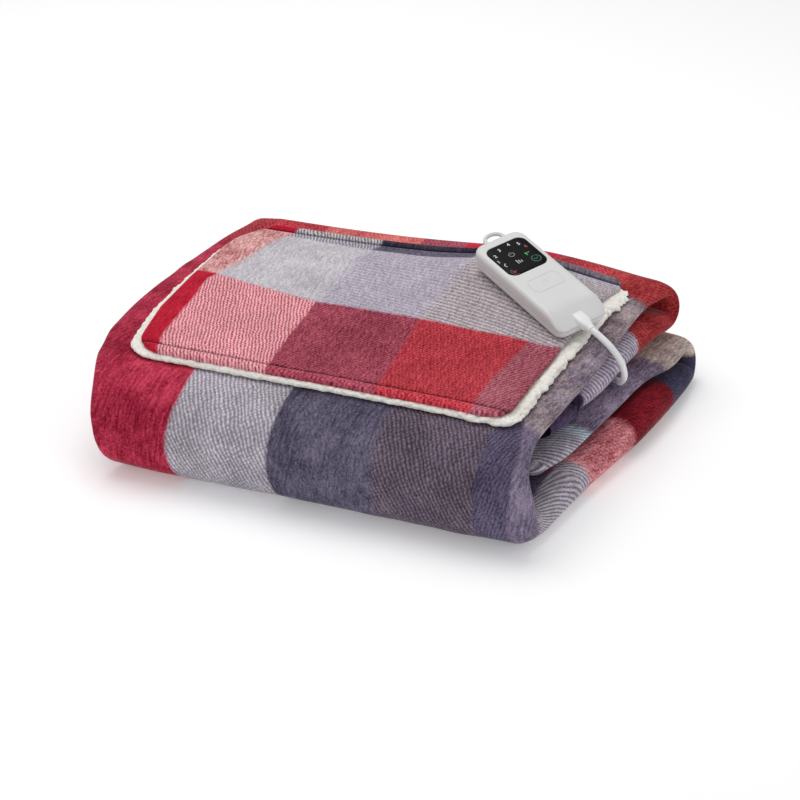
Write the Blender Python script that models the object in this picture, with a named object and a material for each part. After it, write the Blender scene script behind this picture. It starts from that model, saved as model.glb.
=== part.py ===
"""Electric heated throw, folded, with its hand controller lying on top.

Metres, +Z up, +X along the folded pack to its folded end, +Y to its back. The
origin is on the surface under the middle of the pack.

The cloth is doubled along its length into a strip, print outside, with one
folded side (+X) and one hemmed side (-X). Both ends of the strip are folded in
to the middle and the strip is then shut like a book round its front, so the
pack is four plies of two layers. A hemmed flap lies on the pack.
"""

import math

import bmesh
import bpy
import numpy as np
from mathutils import Matrix, Vector

# ---------------------------------------------------------------- sizes
GAP = 0.0003  # between pieces that touch

PLY = 0.0225  # a ply: two layers of cloth
PLY_SPACE = 0.0015  # between two plies
SLIT = 0.0016  # between the two layers of a ply
PACK_HEIGHT = 4 * PLY + 3 * PLY_SPACE

FRONT_Y = -0.128  # the plies are straight from here to BACK_Y
BACK_Y = 0.165
FRONT_REACH = 0.0605  # the round front stands this far before FRONT_Y
TOP_END_Y = -0.012  # the strip's end inside the top two plies
LOW_END_Y = -0.095  # the strip's end inside the lower two plies
FRONT_ROUND_TOP = 2.2  # exponents of the round front, upper and lower half
FRONT_ROUND_LOW = 3.2

LAYER_WALL = 0.009  # cloth at the folded side, from the slit to the outside
SWELL_RUN = 0.060  # the folded side swells or thins over this width
HEM_STEP = 0.006  # the inner layer's hem lies this far inside the outer one's

# The strip's section at places along the fold, and between them by a smooth
# curve. place: 0-1 second ply, 1-2 upper back fold, 2-3 top ply, 3-4 round
# front, 4-5 bottom ply, 5-6 lower back fold, 6-7 third ply. side: the folded
# side's x. hem: the hemmed side's x. shift and half: the folded side's middle,
# off the ply's middle and outwards, and half its thickness. nose: how far
# across it rounds off. mid: half the ply's thickness.
SECTIONS = (
    # place, side, hem, shift, half, nose, mid
    (0.00, 0.181, -0.208, -0.0030, 0.0100, 0.014, 0.0085),
    (0.10, 0.190, -0.214, -0.0048, 0.0145, 0.016, 0.0112),
    (0.25, 0.195, -0.218, -0.0050, 0.0147, 0.016, 0.0112),
    (0.35, 0.199, -0.220, -0.0075, 0.0127, 0.016, 0.0112),
    (0.48, 0.201, -0.222, -0.0075, 0.0127, 0.016, 0.0112),
    (0.60, 0.201, -0.224, -0.0050, 0.0147, 0.016, 0.0112),
    (0.84, 0.207, -0.224, -0.0032, 0.0122, 0.015, 0.0110),
    (1.00, 0.211, -0.220, 0.0010, 0.0090, 0.012, 0.0100),
    (1.50, 0.2125, -0.215, 0.0010, 0.0078, 0.012, 0.0095),
    (2.00, 0.205, -0.226, 0.0028, 0.0072, 0.020, 0.0105),
    (2.13, 0.197, -0.236, 0.0038, 0.0062, 0.025, 0.0112),
    (2.35, 0.194, -0.244, 0.0040, 0.0062, 0.026, 0.0112),
    (2.65, 0.191, -0.244, 0.0036, 0.0066, 0.026, 0.0112),
    (3.00, 0.187, -0.232, 0.0026, 0.0082, 0.022, 0.0120),
    (3.25, 0.192, -0.214, 0.0006, 0.0104, 0.016, 0.0130),
    (3.50, 0.202, -0.207, 0.0000, 0.0118, 0.014, 0.0133),
    (3.75, 0.197, -0.200, -0.0012, 0.0125, 0.014, 0.0130),
    (4.00, 0.2035, -0.191, -0.0024, 0.0136, 0.016, 0.0120),
    (4.25, 0.2125, -0.207, -0.0034, 0.0146, 0.017, 0.0112),
    (4.38, 0.219, -0.222, -0.0038, 0.0150, 0.017, 0.0112),
    (4.56, 0.2285, -0.234, -0.0045, 0.0158, 0.017, 0.0112),
    (4.76, 0.234, -0.234, -0.0040, 0.0153, 0.017, 0.0112),
    (4.92, 0.2355, -0.230, -0.0012, 0.0120, 0.015, 0.0108),
    (5.00, 0.2345, -0.228, 0.0008, 0.0096, 0.012, 0.0102),
    (5.50, 0.2315, -0.222, 0.0010, 0.0078, 0.012, 0.0095),
    (6.00, 0.2275, -0.226, 0.0028, 0.0072, 0.020, 0.0105),
    (6.17, 0.226, -0.230, 0.0038, 0.0062, 0.025, 0.0112),
    (6.30, 0.217, -0.230, 0.0040, 0.0062, 0.026, 0.0112),
    (6.50, 0.211, -0.228, 0.0040, 0.0062, 0.026, 0.0112),
    (6.70, 0.205, -0.226, 0.0038, 0.0064, 0.026, 0.0112),
    (6.88, 0.199, -0.222, 0.0032, 0.0074, 0.018, 0.0112),
    (7.00, 0.184, -0.218, 0.0020, 0.0078, 0.014, 0.0085),
)
# How many sections each stretch of the fold takes, in the order of place.
STRETCH_STEPS = (9, 7, 12, 13, 12, 7, 10)

# Swells of the pack's top: where, how far they reach, how high at the top.
SWELLS = (
    # x, y, reach_x, reach_y, height
    (0.000, 0.160, 0.300, 0.140, 0.0050),
    (0.070, 0.120, 0.130, 0.110, 0.0070),
    (0.075, 0.115, 0.070, 0.060, 0.0060),
    (0.062, 0.100, 0.050, 0.045, 0.0036),
    (0.163, 0.003, 0.050, 0.048, -0.0048),
)
HEM_DROOP = 0.009  # the top ply's hemmed side hangs this far
HEM_DROOP_X = -0.190
HEM_DROOP_RUN = 0.065
BACK_BOW = 0.012  # the back stands out by this at BACK_BOW_X
BACK_BOW_X = 0.090
BACK_BOW_REACH = 0.130
FRONT_LEAN = 0.006  # the front stands forward by this at the hemmed side

# The flap: a printed face over a pile lining, hems at its front and back.
FACE_FRONT_Y = -0.137
FACE_BACK_Y = 0.143
# The face's sides, from its front edge (0) to its back edge (1).
FACE_SIDES = (
    # along, left, right
    (0.00, -0.186, 0.160),
    (0.12, -0.194, 0.158),
    (0.27, -0.203, 0.157),
    (0.50, -0.207, 0.156),
    (0.75, -0.207, 0.162),
    (0.90, -0.200, 0.168),
    (1.00, -0.192, 0.173),
)
FACE_CORNER = 0.022
LINING_THICK = 0.0062
LINING_GAP = 0.0007  # between the lining and the ply under it
LINING_PROUD = 0.0015  # past the face at the left and the front
LINING_PROUD_RIGHT = 0.007
LINING_BACK_Y = 0.1318
HEM_BAND = 0.010  # from the flap's edge to its row of stitches
BACK_ROLL = 0.0055  # the back hem is a roll this far above the lining
# Across each hem: distance from the edge, thickness of the face there.
HEM_PROFILE = (
    # from_edge, thick
    (0.0000, 0.0018),
    (0.0012, 0.0044),
    (0.0050, 0.0056),
    (0.0085, 0.0044),
    (0.0100, 0.0024),
    (0.0118, 0.0036),
    (0.0160, 0.0042),
)

# The hand controller. Its own frame: +X to its foot, +Z out of its top face,
# origin in the middle of the top face.
CONTROLLER_AT = (0.1146, 0.0648, 0.1388)
CONTROLLER_HEADING = -31.4  # degrees from +X
CONTROLLER_SLOPE = (-0.095, 0.225)  # rise of its top face along X and Y
CASE_LENGTH = 0.133
CASE_HEAD_WIDTH = 0.054
CASE_FOOT_WIDTH = 0.055
CASE_CORNER = 0.0115
CASE_THICK = 0.019
CASE_LOWER = 0.0080  # the lower shell's share
CASE_EDGE = 0.0045  # rounding of the long edges
FOOT_SLOPE_START = 0.044  # the top slopes down to the foot from this x
FOOT_SLOPE_DROP = 0.0095
PANEL_AT_X = -0.0332
PANEL_LENGTH = 0.0445
PANEL_WIDTH = 0.0425
PANEL_CORNER = 0.008
PANEL_DEPTH = 0.0014
LOOP_WIDTH = 0.019
LOOP_REACH = 0.012
LOOP_BAR = 0.0042
LOOP_SIDE = 0.003  # off the controller's middle
GLAND_LENGTH = 0.026
GLAND_BASE = (0.0105, 0.0085)
GLAND_TIP = (0.0078, 0.0072)
GLAND_AT = (0.0525, 0.0, -0.0095)

CORD_DIAMETER = 0.0060
# The cord's route from the gland, down past the shoulder of the top plies and
# into the pack between the second and third ply.
CORD_ROUTE = (
    (0.1797, 0.0266, 0.1142),
    (0.1835, 0.0243, 0.1134),
    (0.1905, 0.0225, 0.1098),
    (0.1973, 0.0202, 0.1061),
    (0.2034, 0.0198, 0.1001),
    (0.2078, 0.0215, 0.0927),
    (0.2098, 0.0250, 0.0840),
    (0.2097, 0.0305, 0.0738),
    (0.2066, 0.0375, 0.0652),
    (0.2010, 0.0460, 0.0572),
    (0.1960, 0.0545, 0.0535),
    (0.1890, 0.0588, 0.0525),
    (0.1800, 0.0605, 0.0521),
    (0.1700, 0.0620, 0.0520),
)
CORD_STEP = 0.0050

COLOURS = {
    # name: (red, green, blue), roughness
    "print": ((0.42, 0.10, 0.14), 0.9),
    "pile": ((0.86, 0.83, 0.74), 1.0),
    "case": ((0.88, 0.88, 0.87), 0.35),
    "panel": ((0.010, 0.011, 0.012), 0.08),
    "lead": ((0.90, 0.90, 0.89), 0.40),
}


# ---------------------------------------------------------------- helpers
def clear_scene():
    for obj in list(bpy.data.objects):
        bpy.data.objects.remove(obj, do_unlink=True)


def collection(name):
    made = bpy.data.collections.new(name)
    bpy.context.scene.collection.children.link(made)
    return made


def material(name):
    """A plain Principled material in the named colour."""
    found = bpy.data.materials.get(name)
    if found:
        return found
    colour, roughness = COLOURS[name]
    made = bpy.data.materials.new(name)
    made.use_nodes = True
    shader = made.node_tree.nodes["Principled BSDF"]
    shader.inputs["Base Color"].default_value = (*colour, 1.0)
    shader.inputs["Roughness"].default_value = roughness
    return made


def add_object(name, data, into, finish, parent=None):
    made = bpy.data.objects.new(name, data)
    into.objects.link(made)
    data.materials.append(material(finish))
    made.parent = parent
    return made


def add_cutter(made):
    made.hide_render = True
    made.display_type = "WIRE"
    return made


def smooth(t):
    t = np.clip(t, 0.0, 1.0)
    return t * t * (3.0 - 2.0 * t)


def halves(points, quad):
    """Two triangles of a quad, cut along the diagonal on which X and Y grow together."""
    p, q, r, s = quad
    slant_a = (points[r][0] - points[p][0]) * (points[r][1] - points[p][1])
    slant_b = (points[s][0] - points[q][0]) * (points[s][1] - points[q][1])
    if slant_a >= slant_b:
        return [(p, q, r), (p, r, s)]
    return [(p, q, s), (q, r, s)]


def loft(name, rings):
    """A closed solid through rings of as many points each, capped at its ends."""
    rings = np.asarray(rings)
    count, around = rings.shape[:2]
    points = [tuple(map(float, p)) for p in rings.reshape(-1, 3)]
    faces = []
    for i in range(count - 1):
        for j in range(around):
            k = (j + 1) % around
            a, b = i * around, (i + 1) * around
            faces += halves(points, (a + j, a + k, b + k, b + j))
    faces.append(tuple(reversed(range(around))))
    faces.append(tuple(range((count - 1) * around, count * around)))
    mesh = bpy.data.meshes.new(name)
    mesh.from_pydata(points, [], faces)
    work = bmesh.new()
    work.from_mesh(mesh)
    bmesh.ops.recalc_face_normals(work, faces=work.faces)
    work.to_mesh(mesh)
    work.free()
    mesh.shade_smooth()
    mesh.set_sharp_from_angle(angle=math.radians(50))
    return mesh


# ---------------------------------------------------------------- the fold
PITCH = PLY + PLY_SPACE
PLY_Z = [PLY / 2 + i * PITCH for i in range(4)]  # bottom ply first
MIDDLE_Z = PACK_HEIGHT / 2


def fold_middle(place):
    """(y, z) of the strip's middle at a place along the fold."""
    stretch = min(int(place), 6)
    t = place - stretch
    turn = math.pi * (t - 0.5)
    if stretch == 0:
        return TOP_END_Y + t * (BACK_Y - TOP_END_Y), PLY_Z[2]
    if stretch == 1:
        return BACK_Y + PITCH / 2 * math.cos(turn), (PLY_Z[2] + PLY_Z[3]) / 2 + PITCH / 2 * math.sin(turn)
    if stretch == 2:
        return BACK_Y + t * (FRONT_Y - BACK_Y), PLY_Z[3]
    if stretch == 3:
        angle = math.pi * (0.5 + t)
        power = 2.0 / (FRONT_ROUND_TOP if t < 0.5 else FRONT_ROUND_LOW)
        reach, rise = FRONT_REACH - PLY / 2, MIDDLE_Z - PLY / 2
        out = abs(math.cos(angle)) ** power
        up = math.copysign(abs(math.sin(angle)) ** power, math.sin(angle))
        return FRONT_Y - reach * out, MIDDLE_Z + rise * up
    if stretch == 4:
        return FRONT_Y + t * (BACK_Y - FRONT_Y), PLY_Z[0]
    if stretch == 5:
        return BACK_Y + PITCH / 2 * math.cos(turn), (PLY_Z[0] + PLY_Z[1]) / 2 + PITCH / 2 * math.sin(turn)
    return BACK_Y + t * (LOW_END_Y - BACK_Y), PLY_Z[1]


def fold_frame(place):
    """The strip's middle and its outward normal, both as (y, z)."""
    step = 1e-4
    before = np.array(fold_middle(max(place - step, 0.0)))
    after = np.array(fold_middle(min(place + step, 7.0)))
    along = (after - before) / np.linalg.norm(after - before)
    return np.array(fold_middle(place)), np.array([along[1], -along[0]])


def section_at(place):
    """side, hem, shift, half, nose and mid at a place, from SECTIONS."""
    table = np.array(SECTIONS)
    places = table[:, 0]
    i = int(np.clip(np.searchsorted(places, place, side="right") - 1, 0, len(places) - 2))
    t = (place - places[i]) / (places[i + 1] - places[i])
    before, after = max(i - 1, 0), min(i + 2, len(places) - 1)
    span = places[i + 1] - places[i]
    slope_a = (table[i + 1] - table[before]) / (places[i + 1] - places[before]) * span
    slope_b = (table[after] - table[i]) / (places[after] - places[i]) * span
    t2, t3 = t * t, t * t * t
    row = (
        (2 * t3 - 3 * t2 + 1) * table[i]
        + (t3 - 2 * t2 + t) * slope_a
        + (3 * t2 - 2 * t3) * table[i + 1]
        + (t3 - t2) * slope_b
    )
    return row[1:]


def skin(place, x):
    """The ply's middle offset and half thickness at x, both along the outward normal."""
    side, _, shift, half, nose, mid = section_at(place)
    swell = smooth((x - (side - nose - SWELL_RUN)) / SWELL_RUN)
    round_off = np.clip((x - (side - nose)) / nose, 0.0, 1.0)
    thick = (mid + swell * (half - mid)) * np.sqrt(1.0 - round_off**2)
    return swell * shift, thick


ACROSS = (0.0, 0.13, 0.27, 0.41, 0.54, 0.66, 0.77, 0.86, 0.93, 1.0)
SLIT_ACROSS = (0.0, 0.27, 0.54, 0.77, 1.0)
NOSE_TURNS = 8
HEM_TURNS = 4


def section_outline(place):
    """Closed outline of the doubled strip at a place: (x, offset) points."""
    side, hem, shift, half, nose, mid = section_at(place)
    layer = (mid - SLIT / 2) / 2  # half a layer
    outer_hem, inner_hem = hem + 2 * layer, hem + 2 * layer + HEM_STEP
    far = side - nose
    points = []

    def along(start, end, face, steps):
        for share in steps:
            x = start + share * (end - start)
            middle, thick = skin(place, x)
            points.append((x, middle + face(thick)))

    def round_hem(x, offset):
        for i in range(1, HEM_TURNS):
            angle = math.radians(-90.0 - 180.0 * i / HEM_TURNS)
            points.append((x + layer * math.cos(angle), offset + layer * math.sin(angle)))

    slit_end = side - LAYER_WALL
    along(outer_hem, far, lambda t: t, ACROSS)
    for i in range(1, NOSE_TURNS):
        angle = math.pi / 2 - math.pi * i / NOSE_TURNS
        points.append((far + nose * math.cos(angle), shift + half * math.sin(angle)))
    along(inner_hem, far, lambda t: -t, reversed(ACROSS))
    round_hem(inner_hem, -(SLIT / 2 + layer))
    along(inner_hem, slit_end, lambda t: -SLIT / 2, SLIT_ACROSS)
    along(outer_hem, slit_end, lambda t: SLIT / 2, reversed(SLIT_ACROSS))
    round_hem(outer_hem, SLIT / 2 + layer)
    return points


def settle(points):
    """What lying does to the pack: swells, drooping hems and a bowed back."""
    x, y, z = np.asarray(points, float).T
    share = z / PACK_HEIGHT
    lift = np.zeros_like(x)
    for at_x, at_y, reach_x, reach_y, height in SWELLS:
        lift += height * np.exp(-(((x - at_x) / reach_x) ** 2) - ((y - at_y) / reach_y) ** 2)
    droop = HEM_DROOP * smooth((HEM_DROOP_X - x) / HEM_DROOP_RUN)
    bow = BACK_BOW * np.exp(-(((x - BACK_BOW_X) / BACK_BOW_REACH) ** 2))
    lean = FRONT_LEAN * smooth((0.10 - x) / 0.30)
    y = y + bow * smooth((y + 0.02) / (BACK_Y + 0.02)) - lean * smooth(-y / -FRONT_Y)
    z = z + lift * share - droop * np.abs(share) ** 1.5
    return np.stack([x, y, z], axis=1)


def fold_places():
    places = [0.0]
    for stretch, steps in enumerate(STRETCH_STEPS):
        places += [stretch + (i + 1) / steps for i in range(steps)]
    return places


def folded_pack():
    rings = []
    for place in fold_places():
        middle, normal = fold_frame(place)
        ring = []
        for x, offset in section_outline(place):
            y, z = middle + normal * offset
            ring.append((x, y, max(z, 0.0)))
        rings.append(settle(ring))
    return loft("blanket", rings)


# ---------------------------------------------------------------- the flap
TOP_PLACES = np.linspace(2.0, 3.45, 146)
TOP_Y = np.array([(m + n * PLY / 2)[0] for m, n in map(fold_frame, TOP_PLACES)])


def over_top(x, y, lift):
    """A point this far above the top ply's outer face, in the unsettled pack."""
    place = float(np.interp(-y, -TOP_Y, TOP_PLACES))
    middle, normal = fold_frame(place)
    offset, thick = skin(place, x)
    side, _, shift, half, nose, _ = section_at(place)
    thick = np.maximum(thick, half * 0.75) if x > side - nose else thick
    at = middle + normal * (offset + thick + lift)
    return x, at[0], at[1]


def rows_between(front, back, edge_steps):
    """Rows of a flap piece: close at its front and back edges, and on the ply's own rings between."""
    inside = edge_steps[-1] + 0.006
    rings = STRETCH_STEPS[2]
    under = [FRONT_Y + (BACK_Y - FRONT_Y) * i / rings for i in range(rings + 1)]
    return (
        [front + step for step in edge_steps]
        + [y for y in under if front + inside < y < back - inside]
        + [back - step for step in reversed(edge_steps)]
    )


def column_shares(y, left, right):
    """Shares of a flap piece's width that put its columns on the ply's own columns."""
    side, hem, _, _, nose, mid = section_at(float(np.interp(-y, -TOP_Y, TOP_PLACES)))
    start, end = hem + mid - SLIT / 2, side - nose
    own = [start + share * (end - start) for share in ACROSS[1:-1]]
    return [0.0] + [(x - left) / (right - left) for x in own] + [1.0]


def corner_inset(distance, radius):
    short = max(0.0, radius - distance)
    return radius - math.sqrt(max(0.0, radius * radius - short * short))


def flap_rows(front, back, proud_left, proud_right, edge_steps, profile):
    """Rings of a flap piece. profile gives its underside and top above the ply."""
    sides = np.array(FACE_SIDES)
    length = back - front
    rings = []
    for y in rows_between(front, back, edge_steps):
        distance = y - front
        near = min(distance, length - distance)
        left, right = (float(np.interp(distance / length, sides[:, 0], sides[:, i])) for i in (1, 2))
        left, right = left - proud_left, right + proud_right
        inset = corner_inset(near, FACE_CORNER)
        start, end = left + inset, right - inset
        columns = [start + (end - start) * share for share in column_shares(y, left, right)]
        under, over = profile(distance, length - distance)
        middle, half = (under + over) / 2, (over - under) / 2
        ring = [over_top(x, y, over) for x in columns]
        ring.append(over_top(end + half * 0.8, y, middle + half * 0.4))
        ring.append(over_top(end + half * 0.8, y, middle - half * 0.4))
        ring += [over_top(x, y, under) for x in reversed(columns)]
        ring.append(over_top(start - half * 0.8, y, middle - half * 0.4))
        ring.append(over_top(start - half * 0.8, y, middle + half * 0.4))
        rings.append(settle(ring))
    return rings


def face_profile(from_front, from_back):
    """The printed face: stitched hems, and a back roll that reaches down to the ply."""
    table = np.array(HEM_PROFILE)
    base = LINING_GAP + LINING_THICK + 2 * GAP
    thick = float(np.interp(min(from_front, from_back), table[:, 0], table[:, 1]))
    if from_back < HEM_BAND - 0.001:
        share = from_back / HEM_BAND
        return -0.0015, base + BACK_ROLL * math.sqrt(max(0.04, 1.0 - (2 * share - 1.0) ** 2))
    return base, base + thick


def lining_profile(from_front, from_back):
    near = min(from_front, from_back)
    half = LINING_THICK / 2
    thin = half * (1.0 - math.sqrt(max(0.0, 1.0 - max(0.0, 1.0 - near / half) ** 2))) * 0.7
    return LINING_GAP + thin, LINING_GAP + LINING_THICK - thin


def flap_face():
    steps = [row[0] for row in HEM_PROFILE]
    return loft("flap_face", flap_rows(
        FACE_FRONT_Y, FACE_BACK_Y, 0.0, 0.0, steps, face_profile))


def sherpa_lining():
    front = FACE_FRONT_Y - LINING_PROUD
    return loft("sherpa_lining", flap_rows(
        front, LINING_BACK_Y, LINING_PROUD, LINING_PROUD_RIGHT,
        (0.0, 0.0012, 0.0035, 0.0080, 0.0150), lining_profile))


# ---------------------------------------------------------------- controller
def controller_matrix():
    heading = math.radians(CONTROLLER_HEADING)
    slope = Vector((*CONTROLLER_SLOPE, 0.0))
    along = Vector((math.cos(heading), math.sin(heading), 0.0))
    along.z = along.dot(slope)
    along.normalize()
    out = Vector((-slope.x, -slope.y, 1.0)).normalized()
    across = out.cross(along)
    turn = Matrix((along, across, out)).transposed().to_4x4()
    return Matrix.Translation(CONTROLLER_AT) @ turn


def rounded_outline(length, width_a, width_b, corner, turns=5):
    """Corners of a rounded four-sided plate, width_a at -X and width_b at +X."""
    points = []
    for x, y, start in (
        (length / 2, width_b / 2, 0), (-length / 2, width_a / 2, 90),
        (-length / 2, -width_a / 2, 180), (length / 2, -width_b / 2, 270),
    ):
        centre = (x - math.copysign(corner, x), y - math.copysign(corner, y))
        for i in range(turns + 1):
            angle = math.radians(start + 90 * i / turns)
            points.append((centre[0] + corner * math.cos(angle), centre[1] + corner * math.sin(angle)))
    return points


def rounded_slab(name, outline, levels):
    """A loft up through levels of (z, inset) from one outline."""
    centre = np.mean(outline, axis=0)
    rings = []
    for z, inset in levels:
        ring = []
        for x, y in outline:
            reach = math.hypot(x - centre[0], y - centre[1])
            pull = 1.0 - inset / reach
            ring.append((centre[0] + (x - centre[0]) * pull, centre[1] + (y - centre[1]) * pull, z))
        rings.append(ring)
    return loft(name, rings)


def edge_levels(bottom, top, radius, at_top):
    """Levels of a slab whose top (or bottom) edge is rounded by radius."""
    turned = [
        (radius * (1 - math.sin(a)), radius * (1 - math.cos(a)))
        for a in [math.pi / 2 * i / 4 for i in range(5)]
    ]
    if at_top:
        return [(bottom, 0.0)] + [(top - z, inset) for z, inset in turned]
    return [(bottom + z, inset) for z, inset in reversed(turned)] + [(top, 0.0)]


def case_outline():
    return rounded_outline(CASE_LENGTH, CASE_HEAD_WIDTH, CASE_FOOT_WIDTH, CASE_CORNER)


def controller(parts, cutters):
    frame = bpy.data.objects.new("controller_frame", None)
    parts.objects.link(frame)
    frame.matrix_world = controller_matrix()

    parting = -CASE_THICK + CASE_LOWER
    lower = add_object("controller_lower_shell", rounded_slab(
        "controller_lower_shell", case_outline(),
        edge_levels(-CASE_THICK, parting - GAP, CASE_EDGE, at_top=False)), parts, "case", frame)
    upper = add_object("controller_upper_shell", rounded_slab(
        "controller_upper_shell", case_outline(),
        edge_levels(parting, 0.0, CASE_EDGE, at_top=True)), parts, "case", frame)

    cut_boxes = (foot_slope_cutter(), panel_recess_cutter(), gland_cutter())
    for name, mesh in cut_boxes:
        cutter = add_cutter(add_object(name, mesh, cutters, "case", frame))
        for shell in (upper, lower) if name == "gland_cutter" else (upper,):
            cut = shell.modifiers.new(name, "BOOLEAN")
            cut.operation = "DIFFERENCE"
            cut.object = cutter

    add_object("touch_panel", rounded_slab("touch_panel", moved(panel_outline(GAP), PANEL_AT_X), [
        (-PANEL_DEPTH + GAP, 0.0), (0.0001, 0.0), (0.0004, 0.0004)]), parts, "panel", frame)
    hanging_loop(parts, frame)
    add_object("cord_gland", gland_mesh(), parts, "lead", frame)
    return frame


def moved(outline, by_x):
    return [(x + by_x, y) for x, y in outline]


def panel_outline(inset):
    return rounded_outline(
        PANEL_LENGTH - 2 * inset, PANEL_WIDTH - 2 * inset, PANEL_WIDTH - 2 * inset, PANEL_CORNER - inset)


def panel_recess_cutter():
    return "panel_cutter", rounded_slab(
        "panel_cutter", moved(panel_outline(0.0), PANEL_AT_X), [(-PANEL_DEPTH, 0.0), (0.004, 0.0)])


def foot_slope_cutter():
    """The wedge that slopes the top face down to the foot."""
    wide, far = CASE_FOOT_WIDTH, CASE_LENGTH / 2 + 0.006
    drop = FOOT_SLOPE_DROP * (far - FOOT_SLOPE_START) / (CASE_LENGTH / 2 - FOOT_SLOPE_START)
    back_off = 0.012
    lead_in = drop * back_off / (far - FOOT_SLOPE_START)
    profile = [
        (FOOT_SLOPE_START - back_off, lead_in), (far, -drop), (far, 0.02), (FOOT_SLOPE_START - back_off, 0.02)]
    return "foot_slope_cutter", loft("foot_slope_cutter", [
        [(x, y, z) for x, z in profile] for y in (-wide, wide)])


def gland_ring(x, size, grow=0.0):
    wide, high = size[0] + 2 * grow, size[1] + 2 * grow
    corner = min(wide, high) * 0.35
    return [(x, y, z) for y, z in rounded_outline(wide, high, high, corner, 3)]


def gland_at(ring):
    return [(x + GLAND_AT[0], y + GLAND_AT[1], z + GLAND_AT[2]) for x, y, z in ring]


def gland_mesh():
    stops = ((0.0, 0.0), (0.45, 0.25), (0.8, 0.7), (1.0, 1.0))
    rings = []
    for share, taper in stops:
        size = [b + taper * (t - b) for b, t in zip(GLAND_BASE, GLAND_TIP)]
        rings.append(gland_at(gland_ring(share * GLAND_LENGTH, size)))
    return loft("cord_gland", rings)


def gland_cutter():
    rings = [gland_at(gland_ring(x, GLAND_BASE, GAP)) for x in (-GAP, GLAND_LENGTH)]
    return "gland_cutter", loft("gland_cutter", rings)


def tube(name, points, radius, resolution):
    curve = bpy.data.curves.new(name, "CURVE")
    curve.dimensions = "3D"
    curve.bevel_depth = radius
    curve.bevel_resolution = resolution
    curve.use_fill_caps = True
    spline = curve.splines.new("POLY")
    spline.points.add(len(points) - 1)
    for point, at in zip(spline.points, points):
        point.co = (*at, 1.0)
    return curve


def hanging_loop(parts, frame):
    """A bail on the controller's head, its two feet against the head's end face."""
    start = -CASE_LENGTH / 2 - GAP
    points = [(start, LOOP_SIDE - LOOP_WIDTH / 2, 0.0)]
    for i in range(13):
        angle = math.pi * i / 12
        points.append((
            start - LOOP_REACH * (0.35 + 0.65 * math.sin(angle)) if 0 < i < 12 else start - 0.3 * LOOP_REACH,
            LOOP_SIDE - LOOP_WIDTH / 2 * math.cos(angle), 0.0))
    points.append((start, LOOP_SIDE + LOOP_WIDTH / 2, 0.0))
    height = -CASE_THICK + CASE_LOWER + LOOP_BAR
    points = [(x, y, height) for x, y, _ in points]
    return add_object("hanging_loop", tube("hanging_loop", points, LOOP_BAR / 2, 2), parts, "case", frame)


# ---------------------------------------------------------------- cord
def smooth_route(route, step):
    """Points this far apart along a smooth curve through the route's points."""
    route = [Vector(p) for p in route]
    dense = []
    for i in range(len(route) - 1):
        before, after = route[max(i - 1, 0)], route[min(i + 2, len(route) - 1)]
        a, b = route[i], route[i + 1]
        for j in range(20):
            t = j / 20
            dense.append(0.5 * (
                2 * a + (b - before) * t + (2 * before - 5 * a + 4 * b - after) * t**2
                + (3 * a - before - 3 * b + after) * t**3))
    dense.append(route[-1])
    lengths = np.cumsum([0.0] + [(b - a).length for a, b in zip(dense, dense[1:])])
    count = max(2, round(lengths[-1] / step))
    wanted = np.linspace(0.0, lengths[-1], count + 1)
    axes = [np.interp(wanted, lengths, [p[i] for p in dense]) for i in range(3)]
    return list(zip(*axes))


def cord(parts):
    return add_object("cord", tube(
        "cord", smooth_route(CORD_ROUTE, CORD_STEP), CORD_DIAMETER / 2, 3), parts, "lead")


# ---------------------------------------------------------------- assembly
def main():
    clear_scene()
    parts = collection("heated_throw")
    cutters = collection("cutters")

    blanket = add_object("blanket", folded_pack(), parts, "print")
    face = add_cutter(add_object("flap_face", flap_face(), cutters, "print"))
    join = blanket.modifiers.new("flap", "BOOLEAN")
    join.operation = "UNION"
    join.object = face

    add_object("sherpa_lining", sherpa_lining(), parts, "pile")
    controller(parts, cutters)
    cord(parts)


main()
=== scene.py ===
"""The folded heated throw as it looks: printed fleece, cream pile lining, hand controller and cord.

Metres, +Z up, +X along the folded pack to its folded end, +Y to its back, in the frame of the part.
The throw is doubled along its length into a strip, the strip's ends are folded in to the middle, and
the strip is shut like a book round its front. The functions of the fold repeat the part's own.
"""

import math

import bmesh
import bpy
import numpy as np
from mathutils import Matrix, Vector, noise


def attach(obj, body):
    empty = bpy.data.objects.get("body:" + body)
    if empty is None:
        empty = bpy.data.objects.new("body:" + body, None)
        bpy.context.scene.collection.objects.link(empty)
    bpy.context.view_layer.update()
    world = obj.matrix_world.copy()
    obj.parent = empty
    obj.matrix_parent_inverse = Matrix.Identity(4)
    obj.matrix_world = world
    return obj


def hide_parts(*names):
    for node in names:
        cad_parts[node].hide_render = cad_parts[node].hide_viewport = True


# ---------------------------------------------------------------- the part's sizes
GAP = 0.0003
PLY = 0.0225
PLY_SPACE = 0.0015
SLIT = 0.0016
PACK_HEIGHT = 4 * PLY + 3 * PLY_SPACE
FRONT_Y = -0.128
BACK_Y = 0.165
FRONT_REACH = 0.0605
TOP_END_Y = -0.012
LOW_END_Y = -0.095
FRONT_ROUND_TOP = 2.2
FRONT_ROUND_LOW = 3.2
LAYER_WALL = 0.009  # from the end of the slit to the outside of the closed fold
SWELL_RUN = 0.060  # the ply swells over this run beside its closed fold
HEM_STEP = 0.006  # the inner layer's hem lies this much further in

# A place along the fold is the number of its stretch, in this order, and a share of the stretch.
SECOND_PLY, UPPER_FOLD, TOP_PLY, ROUND_FRONT, BOTTOM_PLY, LOWER_FOLD, THIRD_PLY = range(7)
FOLD_END = 7.0
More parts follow.
